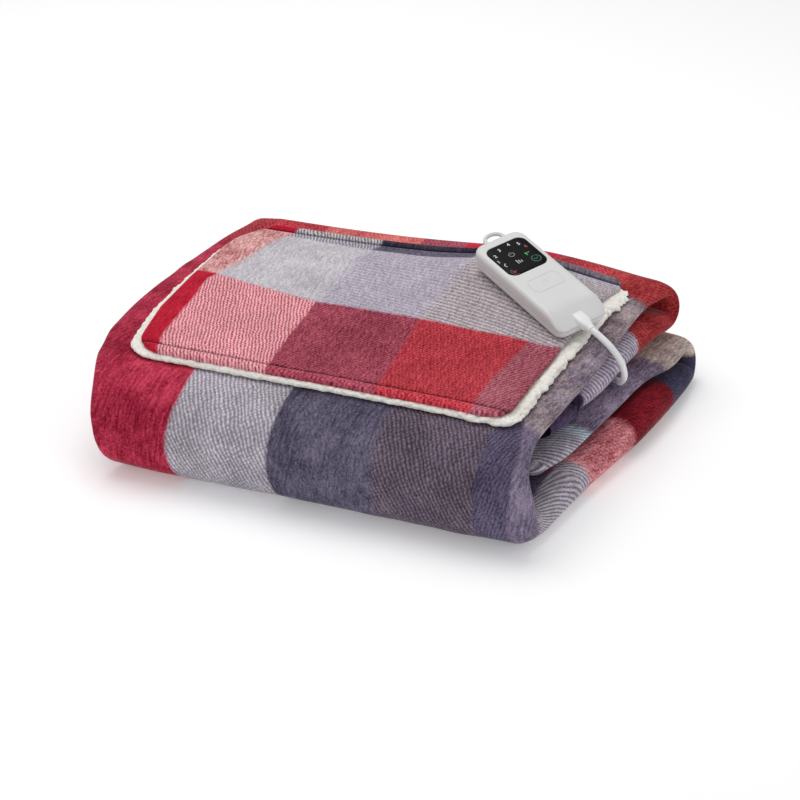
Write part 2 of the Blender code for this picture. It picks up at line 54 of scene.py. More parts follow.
# The strip's section at places along the fold.
SECTIONS = np.array((
    # place, side, hem, shift, half, nose, mid
    (-0.30, 0.176, -0.200, -0.0010, 0.0090, 0.014, 0.0080),
    (-0.15, 0.182, -0.204, -0.0020, 0.0096, 0.014, 0.0082),
    (0.00, 0.185, -0.208, -0.0030, 0.0100, 0.014, 0.0085),
    (0.10, 0.190, -0.214, -0.0048, 0.0145, 0.016, 0.0112),
    (0.25, 0.195, -0.218, -0.0050, 0.0147, 0.016, 0.0112),
    (0.35, 0.199, -0.220, -0.0075, 0.0127, 0.016, 0.0112),
    (0.48, 0.201, -0.222, -0.0075, 0.0127, 0.016, 0.0112),
    (0.60, 0.201, -0.224, -0.0050, 0.0147, 0.016, 0.0112),
    (0.84, 0.207, -0.224, -0.0032, 0.0122, 0.015, 0.0110),
    (1.00, 0.211, -0.220, 0.0010, 0.0090, 0.012, 0.0100),
    (1.50, 0.2125, -0.215, 0.0010, 0.0078, 0.012, 0.0095),
    (2.00, 0.205, -0.226, 0.0028, 0.0072, 0.020, 0.0105),
    (2.13, 0.197, -0.236, 0.0038, 0.0062, 0.025, 0.0112),
    (2.35, 0.194, -0.245, 0.0040, 0.0062, 0.026, 0.0112),
    (2.65, 0.191, -0.249, 0.0036, 0.0066, 0.026, 0.0112),
    (2.85, 0.1888, -0.2450, 0.0031, 0.0073, 0.0245, 0.0115),
    (3.00, 0.187, -0.234, 0.0026, 0.0082, 0.022, 0.0120),
    (3.25, 0.192, -0.2175, 0.0006, 0.0104, 0.016, 0.0130),
    (3.50, 0.202, -0.2115, 0.0000, 0.0118, 0.014, 0.0133),
    (3.75, 0.197, -0.2030, -0.0012, 0.0125, 0.014, 0.0130),
    (4.00, 0.2035, -0.191, -0.0024, 0.0136, 0.016, 0.0120),
    (4.25, 0.2125, -0.207, -0.0034, 0.0146, 0.017, 0.0112),
    (4.38, 0.219, -0.222, -0.0046, 0.0158, 0.017, 0.0112),
    (4.56, 0.2285, -0.234, -0.0057, 0.0170, 0.017, 0.0112),
    (4.76, 0.234, -0.234, -0.0048, 0.0161, 0.017, 0.0112),
    (4.92, 0.2355, -0.230, -0.0012, 0.0120, 0.015, 0.0108),
    (5.00, 0.2345, -0.228, 0.0008, 0.0096, 0.012, 0.0102),
    (5.50, 0.2315, -0.222, 0.0010, 0.0078, 0.012, 0.0095),
    (6.00, 0.2275, -0.226, 0.0028, 0.0072, 0.020, 0.0105),
    (6.17, 0.226, -0.230, 0.0038, 0.0062, 0.025, 0.0112),
    (6.30, 0.214, -0.230, 0.0046, 0.0056, 0.026, 0.0112),
    (6.50, 0.2065, -0.228, 0.0050, 0.0052, 0.026, 0.0112),
    (6.70, 0.1995, -0.226, 0.0050, 0.0052, 0.026, 0.0112),
    (6.88, 0.1930, -0.222, 0.0042, 0.0064, 0.018, 0.0112),
    (7.00, 0.1820, -0.218, 0.0030, 0.0072, 0.014, 0.0085),
))
SWELLS = (
    # x, y, reach_x, reach_y, height
    (0.000, 0.160, 0.300, 0.140, 0.0050),
    (0.070, 0.120, 0.130, 0.110, 0.0070),
    (0.075, 0.115, 0.070, 0.060, 0.0060),
    (0.062, 0.100, 0.050, 0.045, 0.0036),
    (0.163, 0.003, 0.050, 0.048, -0.0048),
)
HEM_DROOP = 0.009
HEM_DROOP_X = -0.190
HEM_DROOP_RUN = 0.065
HEM_KEPT = 0.50  # the hems stay this much higher in the middle of the left side
HEM_KEPT_Y = -0.030
HEM_KEPT_REACH = 0.080
BACK_BOW = 0.012
BACK_BOW_X = 0.090
BACK_BOW_REACH = 0.130
BOW_FROM_Y = -0.02
FRONT_LEAN = 0.006  # the left of the front bulges forwards
LEAN_FROM_X = 0.10
LEAN_RUN = 0.30
DROOP_POWER = 1.5  # how the droop grows with height

FACE_FRONT_Y = -0.137
FACE_BACK_Y = 0.143
FACE_SIDES = np.array((
    # along, left, right
    (0.00, -0.186, 0.160),
    (0.12, -0.194, 0.158),
    (0.27, -0.203, 0.157),
    (0.50, -0.207, 0.156),
    (0.75, -0.207, 0.162),
    (0.90, -0.200, 0.168),
    (1.00, -0.192, 0.173),
))
FACE_CORNER = 0.022
LINING_THICK = 0.0062
LINING_GAP = 0.0007

CONTROLLER_AT = (0.1146, 0.0648, 0.1388)
CONTROLLER_HEADING = -31.4
CONTROLLER_SLOPE = (-0.095, 0.225)
CASE_LENGTH = 0.133
CASE_HEAD_WIDTH = 0.054
CASE_FOOT_WIDTH = 0.055
CASE_CORNER = 0.0115
CASE_THICK = 0.019
CASE_LOWER = 0.0080
CASE_EDGE = 0.0045
FOOT_SLOPE_START = 0.044
FOOT_SLOPE_DROP = 0.0095
PANEL_AT_X = -0.0332
PANEL_LENGTH = 0.0445
PANEL_WIDTH = 0.0425
PANEL_CORNER = 0.008
PANEL_DEPTH = 0.0014
LOOP_WIDTH = 0.019
LOOP_REACH = 0.012
LOOP_BAR = 0.0042
LOOP_SIDE = 0.003
GLAND_LENGTH = 0.026
GLAND_TIP = (0.0078, 0.0072)
GLAND_AT = (0.0525, 0.0, -0.0095)

CORD_DIAMETER = 0.0060
CORD_ROUTE = (
    (0.1797, 0.0266, 0.1142), (0.1835, 0.0243, 0.1134), (0.1905, 0.0225, 0.1098),
    (0.1973, 0.0202, 0.1061), (0.2034, 0.0198, 0.1001), (0.2078, 0.0215, 0.0927),
    (0.2098, 0.0250, 0.0840), (0.2097, 0.0305, 0.0738), (0.2066, 0.0375, 0.0652),
    (0.2010, 0.0460, 0.0572), (0.1960, 0.0545, 0.0535), (0.1890, 0.0588, 0.0525),
    (0.1800, 0.0605, 0.0521), (0.1700, 0.0620, 0.0520),
)

# ---------------------------------------------------------------- sizes of the looks
START_PLACE = -0.30  # the second ply reaches this far towards the front
END_ROUND = 0.0090  # how far the strip's ends bulge
END_TURNS = (15, 30, 45, 60, 75, 86)
CLOTH_STEPS = (30, 16, 34, 40, 34, 16, 26)  # rings in each stretch of the fold
CLOTH_ACROSS = 44  # columns from the hems to where the folded side rounds off
CLOTH_CROWDING = 0.8  # the columns stand closer towards the folded side
CLOTH_NOSE = 16  # steps round the folded side
CLOTH_HEM = 6  # steps round each hem
SLIT_SHARES = (0.0, 0.3, 0.6, 1.0)
THROW_LENGTH = 1.25

# ---------------------------------------------------------------- mesh helpers
ALL_ROUNDED = 180.0


def smooth(t):
    """From 0 to 1 in a soft S, level outside."""
    t = np.clip(t, 0.0, 1.0)
    return t * t * (3.0 - 2.0 * t)


def bump(value, middle, reach):
    """1 at the middle, falling off softly to either side."""
    return np.exp(-(((value - middle) / reach) ** 2))


def arc(x, y, radius, start, end, steps=14):
    """Points round part of a circle, from one angle in degrees to another."""
    turned = [math.radians(start + (end - start) * i / steps) for i in range(steps + 1)]
    return [(x + radius * math.cos(a), y + radius * math.sin(a)) for a in turned]


def mesh_object(name, points, faces, sharp=50.0):
    """A closed mesh; its edges under this angle look rounded."""
    mesh = bpy.data.meshes.new(name)
    mesh.from_pydata([tuple(map(float, p)) for p in points], [], faces)
    work = bmesh.new()
    work.from_mesh(mesh)
    bmesh.ops.recalc_face_normals(work, faces=work.faces)
    work.to_mesh(mesh)
    work.free()
    mesh.shade_smooth()
    mesh.set_sharp_from_angle(angle=math.radians(sharp))
    made = bpy.data.objects.new(name, mesh)
    bpy.context.scene.collection.objects.link(made)
    return made


def loft_faces(count, around, capped=True):
    """The faces between count rings of as many points, with a cap at both ends."""
    faces = []
    for i in range(count - 1):
        a, b = i * around, (i + 1) * around
        for j in range(around):
            k = (j + 1) % around
            faces.append((a + j, a + k, b + k, b + j))
    if capped:
        faces.append(tuple(reversed(range(around))))
        faces.append(tuple(range((count - 1) * around, count * around)))
    return faces


def loft(name, rings, sharp=50.0):
    """A closed skin through rings of as many points each."""
    rings = np.asarray(rings, float)
    count, around = rings.shape[:2]
    return mesh_object(name, rings.reshape(-1, 3), loft_faces(count, around), sharp)


def set_uv(made, name, values):
    """A UV map from one pair of numbers a vertex."""
    layer = made.data.uv_layers.new(name=name)
    index = np.empty(len(made.data.loops), dtype=np.int32)
    made.data.loops.foreach_get("vertex_index", index)
    layer.data.foreach_set("uv", np.asarray(values, dtype=np.float32)[index].ravel())


# ---------------------------------------------------------------- the fold
PITCH = PLY + PLY_SPACE
PLY_Z = [PLY / 2 + i * PITCH for i in range(4)]
MIDDLE_Z = PACK_HEIGHT / 2


def back_fold(t, low, high):
    """A tight half round behind the plies at these two heights."""
    turn = math.pi * (t - 0.5)
    return BACK_Y + PITCH / 2 * math.cos(turn), (low + high) / 2 + PITCH / 2 * math.sin(turn)


def round_front(t):
    """The big round fold at the front, squarer below than above."""
    angle = math.pi * (0.5 + t)
    power = 2.0 / (FRONT_ROUND_TOP if t < 0.5 else FRONT_ROUND_LOW)
    reach, rise = FRONT_REACH - PLY / 2, MIDDLE_Z - PLY / 2
    out = abs(math.cos(angle)) ** power
    up = math.copysign(abs(math.sin(angle)) ** power, math.sin(angle))
    return FRONT_Y - reach * out, MIDDLE_Z + rise * up


def fold_middle(place):
    """(y, z) of the strip's middle at a place along the fold."""
    stretch = min(int(place), THIRD_PLY)
    t = place - stretch
    if stretch == SECOND_PLY:
        return TOP_END_Y + t * (BACK_Y - TOP_END_Y), PLY_Z[2]
    if stretch == UPPER_FOLD:
        return back_fold(t, PLY_Z[2], PLY_Z[3])
    if stretch == TOP_PLY:
        return BACK_Y + t * (FRONT_Y - BACK_Y), PLY_Z[3]
    if stretch == ROUND_FRONT:
        return round_front(t)
    if stretch == BOTTOM_PLY:
        return FRONT_Y + t * (BACK_Y - FRONT_Y), PLY_Z[0]
    if stretch == LOWER_FOLD:
        return back_fold(t, PLY_Z[0], PLY_Z[1])
    return BACK_Y + t * (LOW_END_Y - BACK_Y), PLY_Z[1]


def fold_frame(place):
    """The strip's middle and its outward normal, both as (y, z).

    The normal turns over in front of place 0, where the second ply runs on.
    """
    step = 1e-4
    before = np.array(fold_middle(max(place - step, 0.0)))
    after = np.array(fold_middle(min(place + step, FOLD_END)))
    along = (after - before) / np.linalg.norm(after - before)
    return np.array(fold_middle(place)), np.array([along[1], -along[0]])


def section_at(place):
    """side, hem, shift, half, nose and mid at a place, from SECTIONS."""
    table, places = SECTIONS, SECTIONS[:, 0]
    i = int(np.clip(np.searchsorted(places, place, side="right") - 1, 0, len(places) - 2))
    t = (place - places[i]) / (places[i + 1] - places[i])
    before, after = max(i - 1, 0), min(i + 2, len(places) - 1)
    span = places[i + 1] - places[i]
    slope_a = (table[i + 1] - table[before]) / (places[i + 1] - places[before]) * span
    slope_b = (table[after] - table[i]) / (places[after] - places[i]) * span
    t2, t3 = t * t, t * t * t
    row = (
        (2 * t3 - 3 * t2 + 1) * table[i]
        + (t3 - 2 * t2 + t) * slope_a
        + (3 * t2 - 2 * t3) * table[i + 1]
        + (t3 - t2) * slope_b
    )
    return row[1:]


def skin(section, x):
    """The ply's middle offset and half thickness at each x, both along the outward normal."""
    side, _, shift, half, nose, mid = section
    swell = smooth((x - (side - nose - SWELL_RUN)) / SWELL_RUN)
    round_off = np.clip((x - (side - nose)) / nose, 0.0, 1.0)
    thick = (mid + swell * (half - mid)) * np.sqrt(1.0 - round_off**2)
    return swell * shift, thick


def face_run(section, start, turned):
    """One outer face of the doubled strip from a hem to the folded side, or back if turned is -1."""
    side, _, _, half, nose, _ = section
    far = side - nose
    x = start + np.linspace(0.0, 1.0, CLOTH_ACROSS) ** CLOTH_CROWDING * (far - start)
    middle, thick = skin(section, x)
    across = x if turned > 0 else 2 * far + nose_length(nose, half) - x
    return list(zip(x[::turned], (middle + turned * thick)[::turned], across[::turned], [turned] * len(x)))


def nose_length(nose, half):
    """About how much cloth goes round the folded side."""
    return math.pi * math.sqrt((nose**2 + half**2) / 2)


def hem_round(x, offset, radius, across, face):
    """The half round at a layer's hem."""
    turns = [math.radians(-90.0 - 180.0 * i / CLOTH_HEM) for i in range(1, CLOTH_HEM)]
    return [(x + radius * math.cos(a), offset + radius * math.sin(a), across, face) for a in turns]


def section_outline(place):
    """Closed outline of the doubled strip: rows of x, offset, distance across the cloth, and face.

    face is 1 on the outer face, -1 on the inner face and 0 in the slit between the two layers.
    """
    section = section_at(place)
    side, hem, shift, half, nose, mid = section
    layer = (mid - SLIT / 2) / 2
    outer_hem, inner_hem = hem + 2 * layer, hem + 2 * layer + HEM_STEP
    far, slit_end = side - nose, side - LAYER_WALL
    nose_arc = nose_length(nose, half)
    outline = face_run(section, outer_hem, 1)
    for i in range(1, CLOTH_NOSE):
        turn = math.pi / 2 - math.pi * i / CLOTH_NOSE
        out, up = math.cos(turn), math.sin(turn)
        outline.append((far + nose * out, shift + half * up, far + nose_arc * i / CLOTH_NOSE, up))
    outline += face_run(section, inner_hem, -1)
    outline += hem_round(inner_hem, -(SLIT / 2 + layer), layer, 2 * far + nose_arc - inner_hem, -1)
    for share in SLIT_SHARES:
        outline.append((inner_hem + share * (slit_end - inner_hem), -SLIT / 2, inner_hem, 0))
    for share in reversed(SLIT_SHARES):
        outline.append((outer_hem + share * (slit_end - outer_hem), SLIT / 2, outer_hem, 0))
    outline += hem_round(outer_hem, SLIT / 2 + layer, layer, outer_hem, 1)
    return np.array(outline)


def settle(points):
    """What lying does to the pack: swells, drooping hems and a bowed back."""
    x, y, z = np.asarray(points, float).T
    share = z / PACK_HEIGHT
    lift = np.zeros_like(x)
    for at_x, at_y, reach_x, reach_y, height in SWELLS:
        lift += height * np.exp(-(((x - at_x) / reach_x) ** 2) - ((y - at_y) / reach_y) ** 2)
    kept = 1.0 - HEM_KEPT * bump(y, HEM_KEPT_Y, HEM_KEPT_REACH)
    droop = HEM_DROOP * kept * smooth((HEM_DROOP_X - x) / HEM_DROOP_RUN)
    bow = BACK_BOW * bump(x, BACK_BOW_X, BACK_BOW_REACH)
    lean = FRONT_LEAN * smooth((LEAN_FROM_X - x) / LEAN_RUN)
    at_back = smooth((y - BOW_FROM_Y) / (BACK_Y - BOW_FROM_Y))
    y = y + bow * at_back - lean * smooth(y / FRONT_Y)
    z = z + lift * share - droop * np.abs(share) ** DROOP_POWER
    return np.stack([x, y, z], axis=1)


# ---------------------------------------------------------------- the printed cloth
# Where the print's columns meet, from the hems to the folded side, at distances along the fold.
COLUMN_BORDERS = np.array((
    # along, border 1, border 2, border 3, border 4, border 5
    (0.00, -0.138, -0.100, -0.060, -0.020, 0.020),
    (0.17, -0.138, -0.100, -0.060, -0.020, 0.020),
    (0.19, -0.138, -0.038, 0.003, 0.094, 0.150),
    (0.235, -0.138, -0.038, 0.003, 0.094, 0.150),
    (0.30, -0.130, -0.036, 0.030, 0.110, 0.146),
    (0.46, -0.127, -0.032, 0.059, 0.140, 0.148),
    (0.50, -0.127, -0.032, 0.059, 0.153, 0.172),
    (0.54, -0.124, -0.033, 0.059, 0.153, 0.184),
    (0.58, -0.132, -0.037, 0.061, 0.154, 0.184),
    (0.61, -0.125, -0.030, 0.061, 0.154, 0.184),
    (0.64, -0.112, -0.022, 0.061, 0.154, 0.184),
    (1.03, -0.112, -0.022, 0.061, 0.154, 0.172),
    (1.06, -0.112, -0.090, -0.060, -0.020, 0.020),
    (1.25, -0.112, -0.090, -0.060, -0.020, 0.020),
))
# Where its rows meet along the fold, at the hems and at the folded side.
ROW_BORDERS = np.array((
    # x, border 1 to border 5
    (-0.25, 0.110, 0.262, 0.700, 0.850, 1.150),
    (0.10, 0.110, 0.238, 0.700, 0.850, 1.150),
    (0.168, 0.110, 0.236, 0.700, 0.850, 1.150),
    (0.186, 0.108, 0.247, 0.700, 0.850, 1.150),
    (0.205, 0.105, 0.268, 0.700, 0.850, 1.150),
))
# Soft troughs (-) and ridges (+) of the folded cloth: from and to (x, along), reach, height.
CREASES = (
    # x0, along0, x1, along1, reach, height
    (-0.235, 0.470, -0.170, 0.520, 0.012, -0.0016),
    (-0.240, 0.530, -0.150, 0.560, 0.016, 0.0010),
    (-0.215, 0.400, -0.205, 0.480, 0.010, -0.0010),
    (-0.236, 0.330, -0.212, 0.350, 0.012, -0.0012),
    (-0.100, 0.540, -0.060, 0.620, 0.020, -0.0008),
    (0.020, 0.560, 0.060, 0.625, 0.022, -0.0009),
    (0.110, 0.530, 0.140, 0.620, 0.018, 0.0007),
    (-0.180, 0.590, -0.120, 0.622, 0.018, -0.0008),
)

PRINT_LEFT, PRINT_RIGHT = -0.25, 0.26
FOLD_SHADE_COLUMN = 6.5  # the print's column for the painted shade on the cloth inside the folds
INNER_FROM_X = 0.12
INNER_BEFORE, INNER_AFTER = 0.4, 2.2  # outside these places the inner face gets the painted fold shade
OPEN_FROM, OPEN_TO = 3.70, 5.0  # here the inner face shows, to the right of OPEN_FROM_X
OPEN_FROM_X = 0.135
START_EDGE, START_EDGE_X = 0.004, 0.10
# Soft waves of the cloth that lies open.
WAVES = (
    # scale, seed, height
    (16.0, 3.0, 0.0009),
    (45.0, 9.0, 0.0004),
)
WAVES_FROM, WAVES_TO, WAVES_RUN = 0.50, 0.64, 0.03
SHOULDER_MIDDLE_X, SHOULDER_FROM, SHOULDER_RUN = -0.02, 0.185, 0.02
NOSE_FROM_X = 0.18


def border_index(value, borders, low, high):
    """The number of the cell that a value lies in, and its share of that cell."""
    stops = np.concatenate([[low], borders, [high]])
    return float(np.interp(value, stops, np.arange(len(stops))))


def table_row(at, table):
    """The values of a table at a point of its first column."""
    return [np.interp(at, table[:, 0], table[:, i]) for i in range(1, table.shape[1])]


def crease_height(x, along):
    """How high the soft troughs and ridges stand here."""
    height = 0.0
    for x0, along0, x1, along1, reach, rise in CREASES:
        run = np.array([x1 - x0, along1 - along0])
        at = np.array([x - x0, along - along0])
        share = float(np.clip(at @ run / (run @ run), 0.0, 1.0))
        height += rise * math.exp(-float(np.sum((at - share * run) ** 2)) / reach**2)
    return height


def cloth_wave(x, along, face):
    """How far the cloth stands off its even shape: soft waves where it lies open."""
    if face == 0:
        return 0.0
    wave = 0.0
    for scale, seed, height in WAVES:
        wave += noise.noise(Vector((x * scale, along * scale, seed))) * height
    open_front = smooth((along - WAVES_FROM) / WAVES_RUN) * smooth((WAVES_TO - along) / WAVES_RUN)
    shoulder = smooth((abs(x - SHOULDER_MIDDLE_X) - SHOULDER_FROM) / SHOULDER_RUN)
    share = max(open_front, shoulder if face > 0 or x > NOSE_FROM_X else 0.0)
    return (wave + crease_height(x, along)) * share * abs(face)


def gets_fold_shade(x, along, face, place):
    """Whether this part of the print gets the painted shade of the cloth inside the folds."""
    if along < START_EDGE and x > START_EDGE_X:
        return True
    if face != -1:
        return False
    if OPEN_FROM < place < OPEN_TO:
        return x < OPEN_FROM_X
    return x > INNER_FROM_X and not INNER_BEFORE <= place <= INNER_AFTER


def cloth_places():
    """Places along the fold, each with how far its ring has turned into a rounded end."""
    places = [(START_PLACE, -turn) for turn in reversed(END_TURNS)] + [(START_PLACE, 0)]
    for stretch, steps in enumerate(CLOTH_STEPS):
        start = START_PLACE if stretch == SECOND_PLY else stretch
        places += [(start + (stretch + 1 - start) * (i + 1) / steps, 0) for i in range(steps)]
    return places + [(FOLD_END, turn) for turn in END_TURNS]


def cloth_ring(place, turn, along):
    """A ring of the strip: its points, and each one's place in the print and in the weave."""
    middle, normal = fold_frame(place)
    flat = math.cos(math.radians(turn))
    side, _, _, _, nose, _ = section_at(place)
    middle = middle + np.array([-normal[1], normal[0]]) * END_ROUND * math.sin(math.radians(turn))
    columns = table_row(along, COLUMN_BORDERS)
    ring, print_at, weave_at = [], [], []
    for x, offset, across, face in section_outline(place):
        offset += math.copysign(cloth_wave(x, along, face), face)
        x = min(x, side - nose + (x - side + nose) * flat)
        y, z = middle + normal * offset * flat
        ring.append((x, y, max(z, 0.0)))
        column = border_index(x, columns, PRINT_LEFT, PRINT_RIGHT)
        row = border_index(along, table_row(x, ROW_BORDERS), 0.0, THROW_LENGTH)
        print_at.append((FOLD_SHADE_COLUMN if gets_fold_shade(x, along, face, place) else column, row))
        weave_at.append((across, along))
    return settle(ring), print_at, weave_at


def throw_cloth():
    """The doubled and folded strip, its print and its weave laid out in two UV maps."""
    rings, print_at, weave_at = [], [], []
    along = START_PLACE * (BACK_Y - TOP_END_Y)
    before = fold_middle(START_PLACE)
    for place, turn in cloth_places():
        middle = fold_middle(place)
        along += float(np.linalg.norm(np.subtract(middle, before)))
        before = middle
        ring, ring_print, ring_weave = cloth_ring(place, turn, along)
        rings.append(ring)
        print_at += ring_print
        weave_at += ring_weave
    made = loft("throw_cloth", rings)
    set_uv(made, "print", print_at)
    set_uv(made, "weave", weave_at)
    return made


# ---------------------------------------------------------------- the flap
TOP_PLACES = np.linspace(2.0, 3.45, 291)
TOP_Y = np.array([(m + n * PLY / 2)[0] for m, n in map(fold_frame, TOP_PLACES)])
NOSE_SUPPORT = 0.75  # the least thickness under the flap past the flat of the ply, as a share
# The face's rows across a hem, from its edge.
EDGE_STEPS = (
    0.0, 0.0006, 0.0014, 0.0026, 0.0042, 0.0060, 0.0075, 0.0086, 0.0093, 0.0100, 0.0107, 0.0114, 0.0124,
    0.0140, 0.0165,
)
FACE_BASE = LINING_GAP + LINING_THICK + 2 * GAP
FACE_ROWS = 70
FACE_COLUMNS = 90
FACE_CROWDING = 0.35  # how much closer the columns stand towards both sides
FACE_LEFT_IN = 0.0030
FACE_KEPT = 0.35  # the share of the face's thickness that flattening leaves in any case
STITCHES_AT = 0.0100  # the stitched groove behind the front hem
BACK_THINNING = 0.62
THINNING_FROM_Y, THINNING_RUN = 0.085, 0.045
BACK_PULL = 0.009  # the back hem bows forwards in its middle
BACK_PULL_X = 0.060
BACK_PULL_REACH = 0.100
PULL_FROM_Y, PULL_RUN = 0.06, 0.08
SLIT_AT = 0.0112  # the slit before the rolled back hem, from the flap's back edge
ROLL_BASE = -0.0012  # the rolled hem sinks this far into the top ply
ROLL_IN = 0.001  # and begins this far behind the slit
SIDE_BULGE = 0.0024
SIDE_TURNS = np.radians([54.0, 18.0, -18.0, -54.0])
WAVE_SCALE, WAVE_SEED, WAVE_HEIGHT = 14.0, 5.0, 0.0008
PUCKER_SCALE, PUCKER_SEED, PUCKER_HEIGHT = 150.0, 2.0, 0.0006
PUCKER_AT, PUCKER_REACH = 0.011, 0.006  # puckers along the front stitches
# Across the hems: distance from the edge, thickness of the face there.
FRONT_HEM = np.array((
    # from_edge, thick
    (0.0000, 0.0012), (0.0006, 0.0030), (0.0014, 0.0040), (0.0030, 0.0050), (0.0055, 0.0054),
    (0.0078, 0.0046), (0.0092, 0.0026), (0.0100, 0.0016), (0.0108, 0.0024), (0.0122, 0.0036),
    (0.0165, 0.0043),
))
BACK_HEM = np.array((
    # from_edge, thick
    (0.0000, 0.0006), (0.0006, 0.0036), (0.0016, 0.0052), (0.0035, 0.0062), (0.0060, 0.0060),
    (0.0080, 0.0047), (0.0093, 0.0028), (0.0104, 0.0010), (0.0114, 0.0010), (0.0126, 0.0030),
    (0.0165, 0.0042),
))
FACE_SHARP = 70.0  # edges of the face under this angle look rounded
FACE_PRINT_BOX = (-0.22, 0.19, -0.15, 0.16)  # left, right, front and back of the face's print
# Where the columns of the face's print meet, from its front to its back.
FACE_COLUMNS_AT = np.array((
    # y, border 1 to border 4
    (-0.150, -0.160, -0.058, 0.044, 0.130),
    (-0.110, -0.173, -0.064, 0.039, 0.127),
    (-0.075, -0.178, -0.068, 0.035, 0.126),
    (-0.047, -0.181, -0.070, 0.032, 0.127),
    (0.000, -0.188, -0.074, 0.027, 0.130),
    (0.056, -0.172, -0.073, 0.031, 0.140),
    (0.119, -0.162, -0.070, 0.033, 0.146),
    (0.150, -0.158, -0.070, 0.033, 0.148),
))
# Where its rows meet, from its left to its right.
FACE_ROWS_AT = np.array((
    # x, border 1 to border 3
    (-0.210, 0.016, 0.122, 0.1318),
    (-0.188, 0.014, 0.122, 0.1318),
    (-0.130, 0.004, 0.119, 0.1318),
    (-0.075, -0.005, 0.114, 0.1318),
    (0.007, -0.003, 0.110, 0.1318),
    (0.084, -0.005, 0.111, 0.1318),
    (0.141, 0.001, 0.122, 0.1318),
    (0.170, 0.009, 0.122, 0.1318),
))


def top_row(y):
    """What a row across the top ply needs: middle, normal and section at this y."""
    place = float(np.interp(-y, -TOP_Y, TOP_PLACES))
    middle, normal = fold_frame(place)
    return middle, normal, section_at(place)


def over_top(row, x, lift):
    """Points this far above the top ply's outer face, in the unsettled pack."""
    middle, normal, section = row
    side, _, _, half, nose, _ = section
    x = np.asarray(x, float)
    offset, thick = skin(section, x)
    thick = np.where(x > side - nose, np.maximum(thick, half * NOSE_SUPPORT), thick)
    reach = offset + thick + lift
    return np.stack([x, middle[0] + normal[0] * reach, middle[1] + normal[1] * reach], axis=1)


def corner_inset(distance, radius):
    """How far a rounded corner draws its edge in at this distance from the edge beside it."""
    short = max(0.0, radius - distance)
    return radius - math.sqrt(max(0.0, radius * radius - short * short))


def back_thinning(y):
    """How much of its height the flap keeps here: it flattens towards its back hem."""
    return 1.0 - BACK_THINNING * smooth((y - THINNING_FROM_Y) / THINNING_RUN)


def pull_forward(points, y):
    """The flap's points, drawn forwards where its back hem bows in; y is where they lay before."""
    share = bump(points[:, 0], BACK_PULL_X, BACK_PULL_REACH) * smooth((y - PULL_FROM_Y) / PULL_RUN)
    points[:, 1] -= BACK_PULL * share
    return points


def flap_edges(y, front, back):
    """Left and right edge at this y of a piece of the flap, with its corners rounded."""
    left, right = table_row((y - front) / (back - front), FACE_SIDES)
    inset = corner_inset(min(y - front, back - y), FACE_CORNER)
    return float(left) + inset, float(right) - inset


def hem_thickness(from_front, from_back):
    """The face's thickness at these distances from its front and back edge."""
    if from_front < from_back:
        return np.interp(from_front, FRONT_HEM[:, 0], FRONT_HEM[:, 1])
    return np.interp(from_back, BACK_HEM[:, 0], BACK_HEM[:, 1])


def face_relief(x, y):
    """The face's soft waves, and the puckers along its front stitches."""
    wave = noise.noise(Vector((x * WAVE_SCALE, y * WAVE_SCALE, WAVE_SEED))) * WAVE_HEIGHT
    pucker = noise.noise(Vector((x * PUCKER_SCALE, 0.0, PUCKER_SEED))) * PUCKER_HEIGHT
    return wave + pucker * bump(y - FACE_FRONT_Y, PUCKER_AT, PUCKER_REACH)


def face_ring(y):
    """A ring round the printed face at this y: over it, down its right side, under it and up."""
    from_front, from_back = y - FACE_FRONT_Y, FACE_BACK_Y - y
    left, right = flap_edges(y, FACE_FRONT_Y, FACE_BACK_Y)
    left += FACE_LEFT_IN
    thinning = back_thinning(y)
    thick = hem_thickness(from_front, from_back) * (FACE_KEPT + (1.0 - FACE_KEPT) * thinning)
    base = ROLL_BASE if from_back < SLIT_AT - ROLL_IN else FACE_BASE * thinning
    top = FACE_BASE * thinning + thick
    even = np.linspace(0.0, 1.0, FACE_COLUMNS)
    shares = FACE_CROWDING * (0.5 - 0.5 * np.cos(math.pi * even)) + (1.0 - FACE_CROWDING) * even
    x = left + shares * (right - left)
    relief = np.array([0.0 if from_back < SLIT_AT else face_relief(at, y) for at in x])
    row = top_row(y)
    middle, half = (base + top) / 2, (top - base) / 2
    bulge = min(half, SIDE_BULGE) * np.cos(SIDE_TURNS)
    rise = half * np.sin(SIDE_TURNS)
    return np.concatenate([
        over_top(row, x, top + relief), over_top(row, right + bulge, middle + rise),
        over_top(row, x[::-1], base), over_top(row, left - bulge, middle - rise)])


def flap_face():
    """The printed face with its stitched front hem and the rolled hem behind its slit."""
    rows = [FACE_FRONT_Y + e for e in EDGE_STEPS]
    rows += list(np.linspace(rows[-1], FACE_BACK_Y - EDGE_STEPS[-1], FACE_ROWS)[1:-1])
    rows += [FACE_BACK_Y - e for e in reversed(EDGE_STEPS)]
    print_left, print_right, print_front, print_back = FACE_PRINT_BOX
    rings, print_at, weave_at = [], [], []
    for y in rows:
        ring = pull_forward(face_ring(y), y)
        rings.append(settle(ring))
        columns = table_row(y, FACE_COLUMNS_AT)
        for x in ring[:, 0]:
            row = border_index(y, table_row(x, FACE_ROWS_AT), print_front, print_back)
            print_at.append((border_index(x, columns, print_left, print_right), row))
            weave_at.append((x, y))
    made = loft("flap_face", rings, FACE_SHARP)
    set_uv(made, "print", print_at)
    set_uv(made, "weave", weave_at)
    return made


